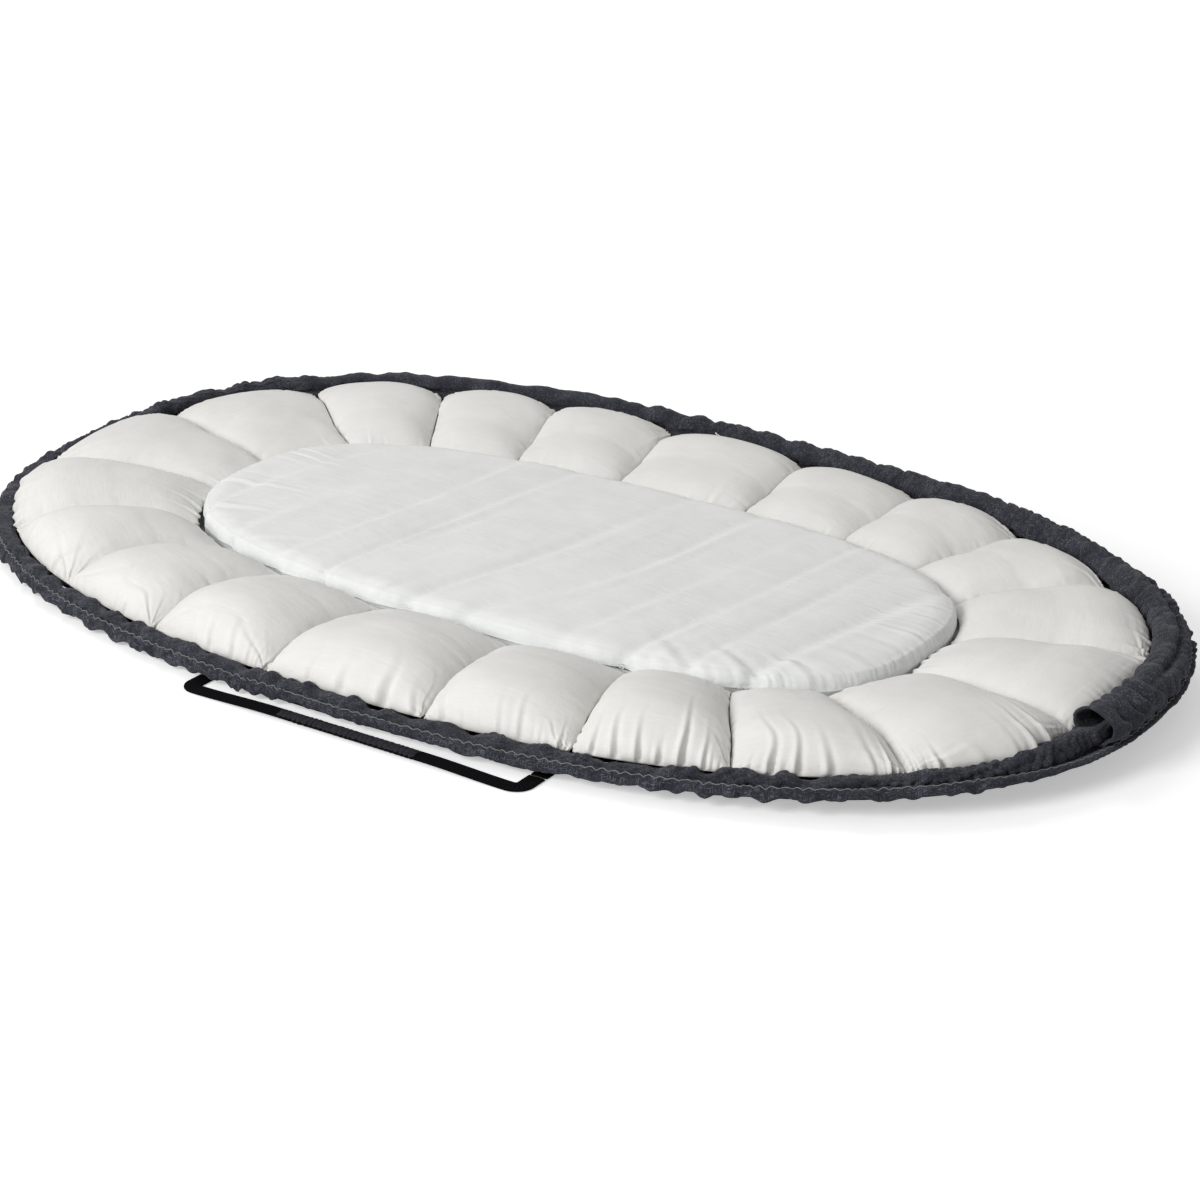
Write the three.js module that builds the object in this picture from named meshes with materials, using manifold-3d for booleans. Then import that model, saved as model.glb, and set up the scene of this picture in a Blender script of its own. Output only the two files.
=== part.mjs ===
// Infant lounger laid out flat: a ring of twenty stuffed bolsters round a loose pad, on a lined cloth shell.
// The shell's edge is a gathered casing with an elastic inside it, and webbing under the shell ends in two handles.
// Millimetres, +Z up, +X along the length. The origin is on the floor, under the middle of the lounger.
import * as THREE from "three";
import Module from "manifold-3d";
import { mergeVertices } from "three/addons/utils/BufferGeometryUtils.js";

const wasm = await Module();
wasm.setup();

// Overall outline of the mat, without its handles
const matLength = 1050;
const matWidth = 664;
const matOvalPower = 2.36;

// Gaps between pieces: where cloth lies on cloth, and between neighbouring bolsters
const clothGap = 0.3;
const bolsterGap = 0.6;

// Shell and lining
const shellThickness = 3;
const liningThickness = 1;
const frontLift = 3.5; // height of the shell's edge over the floor at the front
const backLift = 39; // at the back, where the border stands up round the bolsters
const liftPower = 3; // how late the border starts to stand up on the way from front to back
const liftSlant = 0.224; // turn of that way from +Y towards -X
const endLift = 16.5; // extra height at the end on +X
const shellEdgeInset = 1.5; // how far the shell stops short of the outline
const liftBand = 100; // width of the border over which the shell rises
const clothSteps = 80; // facets round the shell and the lining

// Rim: a gathered casing, wide at its open mouth and narrow at the tail that is tucked into it
const headerWidth = 8;
const headerHeight = 8;
const headerRise = 5.4; // height of the header's middle over the ledge of the shell
const headerWave = 1.4;
const casingRadius = 6.5;
const mouthExtraRadius = 10.5;
const mouthFadePower = 4; // how soon the extra width dies away along the rim
const tailRadius = 6;
const tailInsert = 30;
const tailApproach = 90; // length over which the tail narrows and moves over to the mouth
const casingWall = 2;
const gatherDepth = 1.1;
const gatherCount = 100;
const mouthTurn = -0.028; // place of the mouth, in turns along the outline from +X
const elasticRadius = 2.5;

// Ring of bolsters round the opening that the pad lies in
const nestLength = 668;
const nestWidth = 344;
const nestOvalPower = 2.9;
const bolsterHeight = 48;
const bolsterEndGap = 0.6;
const bolsterLiftPlay = 1.8; // play under a bolster where the shell rises
const crownSink = 0.75; // share of the shell's rise that a bolster's crown doesn't follow
const bolsterCornerPower = 8; // how square a bolster is in plan
const bolsterSteps = 20;
const bolsterSeamShare = 0.36; // height of the seams, as a share of the whole height
const bolsterBaseShare = 0.84; // width of the base, as a share of the width at the seams
const crownAcrossPower = 2.4; // larger numbers give a flatter crown with steeper sides
const crownOut = 0.24; // place of the crown on the way out: the nest is at -1 and the rim at 1
const crownInnerPower = 2;
const crownInnerFall = 0.8; // makes the slope down to the nest longer than the fall to the rim
const crownOuterPower = 2.8;
const bolsterRingShares = [1, 0.95, 0.86, 0.72, 0.5, 0.25];
// Seams of one quarter of the ring, from the end of the mat to its side, as shares of a quarter outline
const innerSeamShares = [0.078, 0.282, 0.439, 0.625, 0.857];
const outerSeamShares = [0.122, 0.357, 0.545, 0.719, 0.896];

// Pad: a foam core in a cover with an envelope opening underneath
const nestPlay = 4;
const padLength = nestLength - nestPlay;
const padWidth = nestWidth - nestPlay;
const padHeight = 38;
const padEdge = 26; // reach of the rounded edge
const padCoverWall = 1.5;
const padSlitLength = 260;
const padSlitWidth = 4;
const padSlitOffset = 90;
const padSteps = 36;
// Edge of the pad from its base to its top: share of the edge's reach, share of the height
const padEdgeShares = [
  [1.1, 0],
  [0.2, 0.07],
  [0, 0.34],
  [0.12, 0.64],
  [0.55, 0.85],
  [1.8, 0.96],
  [3.8, 1],
];

// Webbing straps across the underside and the handles that they end in
const strapSpacing = 300;
const webbingWidth = 14;
const webbingThickness = 1.9;
const strapGroove = 0.3; // play round a strap that is pressed into the shell
const strapOffset = 28; // how far the straps are moved along the mat from its middle
const hingeOutset = 1.6; // how far outside the mat's widest point the handles bend up
const hingeHeight = 1.1;
const handleReach = 8.6;
const handleCornerRadius = 8.5;
const gripLength = 124;
const gripWidth = 14;
const gripThickness = 5.6;
const gatheredWidth = 10; // width of the webbing inside a grip
const gripRibs = 20;
const gripRibShare = 0.1; // depth of the gathers, as a share of the grip's size
const gripLift = 1.8; // height of the grip's middle over the hinge

const cutOverrun = 10;
const clothStack = shellThickness + liningThickness + 2 * clothGap; // height of what lies on the lining

const colours = {
  charcoal: new THREE.MeshStandardMaterial({ color: 0x3c3d43, roughness: 0.95 }),
  cotton: new THREE.MeshStandardMaterial({ color: 0xe9e8e3, roughness: 0.9 }),
  lining: new THREE.MeshStandardMaterial({ color: 0xdfe0df, roughness: 0.9 }),
  foam: new THREE.MeshStandardMaterial({ color: 0xf0ead6, roughness: 1 }),
  webbing: new THREE.MeshStandardMaterial({ color: 0x17181a, roughness: 0.8 }),
  elastic: new THREE.MeshStandardMaterial({ color: 0xd9d9d6, roughness: 0.7 }),
};

// An oval between an ellipse and a rectangle, run anticlockwise from +X.
class Oval extends THREE.Curve {
  constructor(length, width, power) {
    super();
    this.halfLength = length / 2;
    this.halfWidth = width / 2;
    this.power = power;
    this.arcLengthDivisions = 1440;
  }

  getPoint(turn, target = new THREE.Vector3()) {
    const angle = turn * 2 * Math.PI;
    const bend = (value) => Math.sign(value) * Math.abs(value) ** (2 / this.power);
    return target.set(this.halfLength * bend(Math.cos(angle)), this.halfWidth * bend(Math.sin(angle)), 0);
  }

  at(turn) {
    return this.getPointAt(THREE.MathUtils.euclideanModulo(turn, 1));
  }
}

const outline = new Oval(matLength, matWidth, matOvalPower);
const nest = new Oval(nestLength, nestWidth, nestOvalPower);
const outlineLength = outline.getLength();

// A point that lies inset from the outline, at a height.
function insetPoint(turn, inset, height) {
  const step = 1e-3;
  const along = outline.at(turn + step).sub(outline.at(turn - step)).normalize();
  const inward = new THREE.Vector3(-along.y, along.x, 0);
  return outline.at(turn).addScaledVector(inward, inset).setZ(height);
}

// Joins rings of points into one closed solid: the rings form a loop, or the first and last are capped.
function loft(rings, { looped = false, start = null, end = null } = {}) {
  const size = rings[0].length;
  const points = rings.flat();
  const faces = [];
  const bands = looped ? rings.length : rings.length - 1;
  for (let ring = 0; ring < bands; ring++) {
    const here = ring * size;
    const next = ((ring + 1) % rings.length) * size;
    for (let side = 0; side < size; side++) {
      const beside = (side + 1) % size;
      const [a, b, c, d] = [here + side, here + beside, next + beside, next + side];
      // Each four-sided facet folds along its higher diagonal, so layers that follow each other fold alike.
      const rises = points[a].z + points[c].z >= points[b].z + points[d].z;
      faces.push(...(rises ? [a, b, c, a, c, d] : [a, b, d, b, c, d]));
    }
  }
  const cap = (ring, centre, turned) => {
    const middle = centre ?? meanOf(rings[ring]);
    const hub = points.push(middle) - 1;
    for (let side = 0; side < size; side++) {
      const a = ring * size + side;
      const b = ring * size + ((side + 1) % size);
      faces.push(...(turned ? [hub, b, a] : [hub, a, b]));
    }
  };
  if (!looped) {
    cap(0, start, true);
    cap(rings.length - 1, end, false);
  }
  const geometry = new THREE.BufferGeometry().setFromPoints(points);
  geometry.setIndex(faces);
  return facingOut(geometry);
}

function meanOf(points) {
  return points.reduce((sum, point) => sum.add(point), new THREE.Vector3()).divideScalar(points.length);
}

function facingOut(geometry) {
  const position = geometry.getAttribute("position");
  const faces = geometry.index.array;
  const [a, b, c] = [new THREE.Vector3(), new THREE.Vector3(), new THREE.Vector3()];
  let volume = 0;
  for (let face = 0; face < faces.length; face += 3) {
    a.fromBufferAttribute(position, faces[face]);
    b.fromBufferAttribute(position, faces[face + 1]);
    c.fromBufferAttribute(position, faces[face + 2]);
    volume += a.dot(b.cross(c));
  }
  if (volume < 0) {
    for (let face = 0; face < faces.length; face += 3) {
      [faces[face + 1], faces[face + 2]] = [faces[face + 2], faces[face + 1]];
    }
  }
  return geometry;
}

function solidFrom(geometry) {
  const bare = geometry.clone();
  bare.deleteAttribute("normal");
  bare.deleteAttribute("uv");
  const merged = mergeVertices(bare);
  return new wasm.Manifold(
    new wasm.Mesh({
      numProp: 3,
      vertProperties: merged.getAttribute("position").array,
      triVerts: new Uint32Array(merged.index.array),
    }),
  );
}

function geometryFrom(solid) {
  const mesh = solid.getMesh();
  const geometry = new THREE.BufferGeometry();
  geometry.setAttribute("position", new THREE.BufferAttribute(mesh.vertProperties, 3));
  geometry.setIndex(new THREE.BufferAttribute(mesh.triVerts, 1));
  return geometry;
}

function boxSolid(size, centre) {
  return solidFrom(new THREE.BoxGeometry(...size).translate(...centre));
}

// A cross-section with its flats at the radius, turned so that it lies on a flat.
function flatSidedRing(turn, inset, rise, radius, sides) {
  const corner = radius / Math.cos(Math.PI / sides);
  return Array.from({ length: sides }, (_, side) => {
    const angle = ((side + 0.5) / sides) * 2 * Math.PI;
    return ledgePoint(turn, inset + corner * Math.cos(angle), rise + corner * Math.sin(angle));
  });
}

// How far the edge lies along the slanted way on which it rises, from the front of the mat to its back.
function riseWay(turn) {
  const { x, y } = outline.at(turn);
  return y * Math.cos(liftSlant) - x * Math.sin(liftSlant);
}

const riseWaySteps = 720;
const riseReach = Math.max(...Array.from({ length: riseWaySteps }, (_, step) => riseWay(step / riseWaySteps)));

// Height of the shell's edge over the floor.
function edgeLift(turn) {
  const share = THREE.MathUtils.clamp((riseWay(turn) / riseReach + 1) / 2, 0, 1);
  const endShare = Math.max(outline.at(turn).x, 0) / (matLength / 2);
  return THREE.MathUtils.lerp(frontLift, backLift, share ** liftPower) + endLift * endShare ** 2;
}

// A point over the ledge, the flat top of the shell's edge that the rim is sewn to.
function ledgePoint(turn, inset, rise) {
  return insetPoint(turn, inset, edgeLift(turn) + shellThickness + rise);
}

// Rim lanes: travel runs from 0 at the mouth, round the mat, to 1 where the tail reaches the mouth
const mouthRadius = casingRadius + mouthExtraRadius;
const mouthLane = { inset: headerWidth + clothGap + mouthRadius, rise: clothGap + mouthRadius };
const tailLane = {
  inset: mouthLane.inset,
  rise: mouthLane.rise - (mouthRadius - casingWall) + clothGap + tailRadius,
  radius: tailRadius,
};
const approachShare = tailApproach / outlineLength;
const insertShare = tailInsert / outlineLength;

function casingLane(travel) {
  const extra = mouthExtraRadius * Math.max(1 - travel, 0) ** mouthFadePower;
  const radius = casingRadius + extra;
  const near = THREE.MathUtils.smoothstep(travel, 1 - approachShare, 1);
  return {
    inset: THREE.MathUtils.lerp(headerWidth + clothGap + radius, tailLane.inset, near),
    rise: THREE.MathUtils.lerp(clothGap + radius, tailLane.rise, near),
    radius: THREE.MathUtils.lerp(radius, tailLane.radius, near),
  };
}

function travelAt(turn) {
  return THREE.MathUtils.euclideanModulo(turn - mouthTurn, 1);
}

// Distance from the outline to the inner side of the rim, eased where the tail meets the wide mouth.
function rimWidthAt(turn) {
  const travel = travelAt(turn);
  const lane = casingLane(travel);
  const mouthWidth = mouthLane.inset + mouthRadius;
  const near = THREE.MathUtils.smoothstep(travel, 1 - approachShare, 1 - insertShare / 2);
  return THREE.MathUtils.lerp(lane.inset + lane.radius, mouthWidth, near);
}

const casingSides = 8;
const rimSteps = gatherCount; // stations round the rim where it isn't gathered

function rimCasing() {
  const travels = (steps) => [
    ...Array.from({ length: steps + 1 }, (_, step) => step / steps),
    1 + insertShare,
  ];
  const ring = (travel, wall) => {
    const lane = casingLane(travel);
    return flatSidedRing(mouthTurn + travel, lane.inset, lane.rise, lane.radius - wall, casingSides);
  };
  const outside = travels(2 * gatherCount).map((travel, step) => ring(travel, step % 2 ? gatherDepth : 0));
  const bore = travels(rimSteps).map((travel) => ring(travel, casingWall));
  return loft([...outside, ...bore.reverse()], { looped: true });
}

function rimHeader() {
  const rings = Array.from({ length: rimSteps }, (_, step) => {
    const turn = mouthTurn + step / rimSteps;
    const wave = step % 2 ? headerWave : 0;
    const section = [
      [wave, 0],
      [headerWidth / 2, headerHeight / 2 - wave],
      [headerWidth, headerHeight / 4],
      [headerWidth, -headerHeight / 4],
      [headerWidth / 2, -headerHeight / 2 + wave],
    ];
    return section.map(([inset, rise]) => ledgePoint(turn, inset, headerRise + rise));
  });
  return loft(rings, { looped: true });
}

// The elastic pulls against the inner side of the casing, and passes through the tail at the mouth.
function gatheringElastic() {
  const elasticSides = 5;
  const play = 2 * clothGap;
  const hug = (radius) => radius - casingWall - elasticRadius - play;
  const clearOfTail = insertShare + 1 / rimSteps;
  const rings = Array.from({ length: rimSteps }, (_, step) => {
    const travel = step / rimSteps;
    const lane = casingLane(travel);
    const free = THREE.MathUtils.smoothstep(travel, insertShare, insertShare + 2 * clearOfTail);
    const inset = THREE.MathUtils.lerp(tailLane.inset + hug(tailLane.radius), lane.inset + hug(lane.radius), free);
    const rise = THREE.MathUtils.lerp(tailLane.rise, lane.rise, free);
    return flatSidedRing(mouthTurn + travel, inset, rise, elasticRadius, elasticSides);
  });
  return loft(rings, { looped: true });
}

// Height over the floor that the shell has gained at an inset from the outline.
function liftAt(turn, inset) {
  const ledge = rimWidthAt(turn);
  return edgeLift(turn) * THREE.MathUtils.clamp((liftBand - inset) / (liftBand - ledge), 0, 1);
}

// A cloth layer that lies flat on the floor and rises to the rim at its border.
function clothLayer(bottom, thickness, edgeInset) {
  const turns = Array.from({ length: clothSteps }, (_, step) => step / clothSteps);
  const ring = (insetAt, height) =>
    turns.map((turn) => insetPoint(turn, insetAt(turn), height + liftAt(turn, insetAt(turn))));
  const insets = [() => liftBand, (turn) => Math.max(rimWidthAt(turn), edgeInset(turn)), edgeInset];
  const under = insets.map((insetAt) => ring(insetAt, bottom));
  const over = insets.map((insetAt) => ring(insetAt, bottom + thickness)).reverse();
  return loft([...under, ...over], {
    start: new THREE.Vector3(0, 0, bottom),
    end: new THREE.Vector3(0, 0, bottom + thickness),
  });
}

function baseShell() {
  const grooveDepth = webbingThickness + strapGroove;
  let shell = solidFrom(clothLayer(0, shellThickness, () => shellEdgeInset));
  for (const side of [-1, 1]) {
    const groove = boxSolid(
      [webbingWidth + 2 * strapGroove, matWidth + 2 * cutOverrun, grooveDepth + cutOverrun],
      [strapOffset + (side * strapSpacing) / 2, 0, (grooveDepth - cutOverrun) / 2],
    );
    shell = shell.subtract(groove);
  }
  return geometryFrom(shell);
}

function baseLining() {
  return clothLayer(shellThickness + clothGap, liningThickness, (turn) => rimWidthAt(turn) + bolsterEndGap);
}

// All seams round the ring, in turns, mirrored from the quarter's shares.
function seamTurns(shares) {
  const quarter = (index) => {
    const inOrder = index % 2 ? shares.map((share) => 1 - share).reverse() : shares;
    return inOrder.map((share) => (index + share) / 4);
  };
  return [0, 1, 2, 3].flatMap(quarter);
}

const innerSeams = seamTurns(innerSeamShares);
const outerSeams = seamTurns(outerSeamShares);

// A stuffed pocket between two seams. Across runs from one seam to the next, and out runs from nest to rim.
function bolster(index) {
  const before = (index + innerSeams.length - 1) % innerSeams.length;
  const wrap = index === 0 ? 1 : 0;
  const seamPlace = (seams, across) => THREE.MathUtils.lerp(seams[before] - wrap, seams[index], across);
  const planPoint = (across, out) => {
    const inner = nest.at(seamPlace(innerSeams, across));
    const outerTurn = seamPlace(outerSeams, across);
    const endInset = rimWidthAt(outerTurn) + bolsterEndGap;
    const outer = insetPoint(outerTurn, endInset, 0);
    const edge = outline.at(outerTurn);
    const inward = outer.clone().sub(edge).normalize();
    const point = inner.lerp(outer, out);
    const lift = liftAt(outerTurn, point.clone().sub(edge).dot(inward));
    return point.setZ(lift > 0 ? lift + bolsterLiftPlay : 0);
  };
  const place = (across, out, rise) => {
    const width = planPoint(0, out).distanceTo(planPoint(1, out));
    const margin = bolsterGap / 2 / width;
    const point = planPoint(THREE.MathUtils.lerp(margin, 1 - margin, across), out);
    return point.setZ(point.z * (1 - crownSink * rise) + clothStack + rise * bolsterHeight);
  };
  const bend = (value) => Math.sign(value) * Math.abs(value) ** (2 / bolsterCornerPower);
  const crown = (across, out) => {
    const arch = Math.sqrt(1 - Math.abs(across) ** crownAcrossPower);
    const along =
      out > crownOut
        ? Math.sqrt(1 - ((out - crownOut) / (1 - crownOut)) ** crownOuterPower)
        : (1 - ((crownOut - out) / (1 + crownOut)) ** crownInnerPower) ** crownInnerFall;
    return THREE.MathUtils.lerp(bolsterSeamShare, 1, arch * along);
  };
  const ring = (spread, riseAt) =>
    Array.from({ length: bolsterSteps }, (_, step) => {
      const angle = (step / bolsterSteps) * 2 * Math.PI;
      const across = spread * bend(Math.cos(angle));
      const out = spread * bend(Math.sin(angle));
      return place((1 + across) / 2, (1 + out) / 2, riseAt(across, out));
    });
  const rings = [
    ring(bolsterBaseShare, () => 0),
    ...bolsterRingShares.map((spread) => ring(spread, spread < 1 ? crown : () => bolsterSeamShare)),
  ];
  const middle = 1 / 2;
  return loft(rings, { start: place(middle, middle, 0), end: place(middle, middle, crown(0, 0)) });
}

// The pad's rounded slab, drawn in on every side by a wall.
function padForm(wall) {
  const base = clothStack + wall;
  const height = padHeight - 2 * wall;
  const rings = padEdgeShares.map(([reach, rise]) => {
    const inset = wall + reach * padEdge;
    const oval = new Oval(padLength - 2 * inset, padWidth - 2 * inset, nestOvalPower);
    return Array.from({ length: padSteps }, (_, step) => oval.at(step / padSteps).setZ(base + rise * height));
  });
  return loft(rings, {
    start: new THREE.Vector3(0, 0, base),
    end: new THREE.Vector3(0, 0, base + height),
  });
}

function padCover() {
  const slit = boxSolid(
    [padSlitLength, padSlitWidth, 2 * padCoverWall],
    [0, -padSlitOffset, clothStack + padCoverWall / 2],
  );
  return geometryFrom(solidFrom(padForm(0)).subtract(solidFrom(padForm(padCoverWall))).subtract(slit));
}

function padCore() {
  return padForm(padCoverWall + clothGap);
}

// A strip of webbing through stations of place, heading, width and thickness.
function webbingStrip(stations) {
  const rings = stations.map(({ place, heading, width, thickness }) => {
    const across = new THREE.Vector3(-heading.y, heading.x, 0).multiplyScalar(width / 2);
    const up = new THREE.Vector3(0, 0, thickness / 2);
    return [
      place.clone().add(across).add(up),
      place.clone().sub(across).add(up),
      place.clone().sub(across).sub(up),
      place.clone().add(across).sub(up),
    ];
  });
  return loft(rings);
}

const hingeLine = matWidth / 2 + hingeOutset;
const knuckleRadius = webbingThickness / 2;

// A strap lies in its groove, and its ends reach the hinge lines of the handles.
function crossStrap(side) {
  const length = 2 * (hingeLine - knuckleRadius - clothGap);
  return new THREE.BoxGeometry(webbingWidth, length, webbingThickness).translate(
    strapOffset + (side * strapSpacing) / 2,
    0,
    webbingThickness / 2,
  );
}

// Half of a handle's webbing, from its rounded hinge end, round the corner, to the middle of the grip.
function handleHalf(side, facing) {
  const station = (across, out, height, angle, thickness = webbingThickness, width = webbingWidth) => ({
    place: new THREE.Vector3(strapOffset + side * across, facing * (hingeLine + out), height),
    heading: new THREE.Vector3(-side * Math.sin(angle), facing * Math.cos(angle), 0),
    width,
    thickness,
  });
  const start = strapSpacing / 2;
  const straight = handleReach - handleCornerRadius;
  const diagonal = Math.SQRT1_2 * knuckleRadius;
  const stations = [
    station(start, -knuckleRadius, hingeHeight, 0, knuckleRadius / 2),
    station(start, -diagonal, hingeHeight, 0, 2 * diagonal),
    station(start, 0, hingeHeight, 0),
    station(start, straight, hingeHeight, 0),
  ];
  for (const angle of [Math.PI / 6, Math.PI / 3, Math.PI / 2]) {
    const across = start - handleCornerRadius * (1 - Math.cos(angle));
    stations.push(station(across, straight + handleCornerRadius * Math.sin(angle), hingeHeight, angle));
  }
  const beforeGrip = gripLength / 2 + gripWidth / 2;
  const gripHeight = hingeHeight + gripLift;
  stations.push(station(beforeGrip, handleReach, gripHeight, Math.PI / 2, webbingThickness, gatheredWidth));
  return stations;
}

function handleWebbing(facing) {
  const left = handleHalf(-1, facing);
  const right = handleHalf(1, facing).reverse();
  right.forEach(({ heading }) => heading.negate());
  return webbingStrip([...left, ...right]);
}

// A gathered sleeve round the middle of a handle, with a slot for the webbing.
function handleGrip(facing) {
  const gripSides = 8;
  const y = facing * (hingeLine + handleReach);
  const z = hingeHeight + gripLift;
  const ring = (x, shape) =>
    Array.from({ length: gripSides }, (_, side) => {
      const angle = (side / gripSides) * 2 * Math.PI;
      const [across, up] = shape(Math.cos(angle), Math.sin(angle));
      return new THREE.Vector3(strapOffset + x, y + across, z + up);
    });
  const ribbed = (scale) => (cos, sin) => [(scale * cos * gripWidth) / 2, (scale * sin * gripThickness) / 2];
  const slotCorner = 1.6; // squares the slot off: a larger number gives sharper corners
  const squared = (value) => THREE.MathUtils.clamp(slotCorner * value, -1, 1);
  const slot = (cos, sin) => [
    squared(cos) * (gatheredWidth / 2 + clothGap),
    squared(sin) * (webbingThickness / 2 + clothGap),
  ];
  const outside = Array.from({ length: 2 * gripRibs + 1 }, (_, step) => {
    const x = gripLength * (step / (2 * gripRibs) - 1 / 2);
    return ring(x, ribbed(step % 2 ? 1 : 1 - gripRibShare));
  });
  const bore = [ring(gripLength / 2, slot), ring(-gripLength / 2, slot)];
  return loft([...outside, ...bore], { looped: true });
}

const lounger = new THREE.Group();

function add(name, geometry, material) {
  const mesh = new THREE.Mesh(geometry, material);
  mesh.name = name;
  lounger.add(mesh);
}

add("base_shell", baseShell(), colours.charcoal);
add("base_lining", baseLining(), colours.lining);
innerSeams.forEach((_, index) => {
  add(`bolster_${String(index + 1).padStart(2, "0")}`, bolster(index), colours.cotton);
});
add("pad_cover", padCover(), colours.cotton);
add("pad_core", padCore(), colours.foam);
add("rim_casing", rimCasing(), colours.charcoal);
add("rim_header", rimHeader(), colours.charcoal);
add("gathering_elastic", gatheringElastic(), colours.elastic);
add("cross_strap_left", crossStrap(-1), colours.webbing);
add("cross_strap_right", crossStrap(1), colours.webbing);
add("front_handle_webbing", handleWebbing(-1), colours.webbing);
add("front_handle_grip", handleGrip(-1), colours.webbing);
add("back_handle_webbing", handleWebbing(1), colours.webbing);
add("back_handle_grip", handleGrip(1), colours.webbing);

export default lounger;
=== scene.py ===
"""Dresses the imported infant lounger: stuffed bolsters, loose pad, gathered rim, shell, straps and handles."""

import math

import bmesh
import bpy
import numpy as np
from mathutils import Matrix, Vector


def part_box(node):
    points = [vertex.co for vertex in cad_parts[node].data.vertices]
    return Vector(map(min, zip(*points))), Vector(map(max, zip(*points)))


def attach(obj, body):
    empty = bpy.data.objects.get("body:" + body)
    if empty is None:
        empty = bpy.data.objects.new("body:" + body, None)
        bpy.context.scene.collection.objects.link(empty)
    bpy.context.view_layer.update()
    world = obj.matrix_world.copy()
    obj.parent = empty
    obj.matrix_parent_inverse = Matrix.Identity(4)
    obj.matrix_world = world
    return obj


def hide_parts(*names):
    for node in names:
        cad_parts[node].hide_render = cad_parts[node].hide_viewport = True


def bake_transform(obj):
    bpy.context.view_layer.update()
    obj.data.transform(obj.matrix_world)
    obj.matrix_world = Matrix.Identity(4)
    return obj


bl_info = {
    "name": "Infant Lounger",
    "version": (1, 0, 0),
    "blender": (4, 5, 0),
    "location": "3D View > Sidebar > Lounger",
    "description": "Makes the cloth pieces of an oval infant lounger over its packed solids",
    "category": "Object",
}

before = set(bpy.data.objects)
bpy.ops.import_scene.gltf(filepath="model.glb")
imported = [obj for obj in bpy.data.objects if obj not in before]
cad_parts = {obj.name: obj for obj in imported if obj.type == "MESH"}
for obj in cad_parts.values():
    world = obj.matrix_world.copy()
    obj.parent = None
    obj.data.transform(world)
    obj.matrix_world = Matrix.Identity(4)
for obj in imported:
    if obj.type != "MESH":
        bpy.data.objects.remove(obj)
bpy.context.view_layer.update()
bolster_nodes = sorted(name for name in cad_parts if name.startswith("bolster_"))
pad_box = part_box("pad_cover")
bolster_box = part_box(bolster_nodes[0])


# Sizes and colours that a user would change

def number_setting(name, description, default, **kind):
    return bpy.props.FloatProperty(name=name, description=description, default=default, **kind)


def length_setting(name, description, default):
    return number_setting(name, description, default, unit="LENGTH")


def colour_setting(name, description, default):
    return bpy.props.FloatVectorProperty(
        name=name, description=description, default=default, subtype="COLOR", size=3, min=0, max=1
    )


class LoungerSizes(bpy.types.PropertyGroup):
    """Real sizes of the mat and its pieces."""

    mat_length: length_setting("Mat length", "Length of the whole oval", 1.05)
    mat_width: length_setting("Mat width", "Width of the whole oval", 0.664)
    mat_power: number_setting("Mat oval power", "How full the corners of the oval are", 2.36)
    nest_length: length_setting("Nest length", "Length inside the ring of bolsters", 0.668)
    nest_width: length_setting("Nest width", "Width inside the ring of bolsters", 0.344)
    nest_power: number_setting("Nest oval power", "How full the corners of the nest are", 2.9)
    pad_length: length_setting("Pad length", "Length of the loose pad", 0.664)
    pad_width: length_setting("Pad width", "Width of the loose pad", 0.34)
    pad_bottom: length_setting("Pad bottom", "Height of the pad's underside", pad_box[0].z)
    pad_top: length_setting("Pad top", "Height of the pad's top", pad_box[1].z)
    bolster_bottom: length_setting("Bolster bottom", "Height of a bolster's base", bolster_box[0].z)
    bolster_top: length_setting("Bolster top", "Height of a bolster's crown", bolster_box[1].z)
    front_lift: length_setting("Front lift", "Height of the shell's edge at the front", 0.0035)
    back_lift: length_setting("Back lift", "Height of the shell's edge at the back", 0.039)
    end_lift: length_setting("End lift", "Extra height of the edge at the end with the mouth", 0.0165)
    lift_slant: number_setting(
        "Lift slant", "Turn of the way on which the edge rises", 0.224, unit="ROTATION"
    )
    lift_band: length_setting("Rising border", "Width over which the shell rises", 0.1)
    shell_thickness: length_setting("Shell thickness", "Thickness of the shell", 0.003)
    header_width: length_setting("Header width", "Width of the narrow ruffle outside the casing", 0.008)
    casing_radius: length_setting("Casing radius", "Radius of the casing far from its mouth", 0.0065)
    mouth_radius: length_setting("Mouth radius", "Radius of the casing at its open mouth", 0.017)
    tail_radius: length_setting("Tail radius", "Radius of the end that is tucked into the mouth", 0.006)
    tail_insert: length_setting("Tail insert", "How far the tail goes into the mouth", 0.03)
    tail_approach: length_setting("Tail approach", "Length over which the tail narrows", 0.09)
    strap_spacing: length_setting("Strap spacing", "Distance between the two straps", 0.3)
    strap_offset: length_setting("Strap offset", "How far the straps sit from the middle", 0.028)
    webbing_width: length_setting("Webbing width", "Width of the straps", 0.014)
    webbing_thickness: length_setting("Webbing thickness", "Thickness of the straps", 0.0019)
    hinge_outset: length_setting("Hinge outset", "From the mat's widest point to the hinge line", 0.0016)
    handle_reach: length_setting("Handle reach", "Distance from hinge line to handle", 0.0086)
    crown_share: number_setting("Crown before stuffing", "Height of a crown before it swells", 0.93)
    grip_length: length_setting("Grip length", "Length of the gathered sleeve", 0.124)


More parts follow.
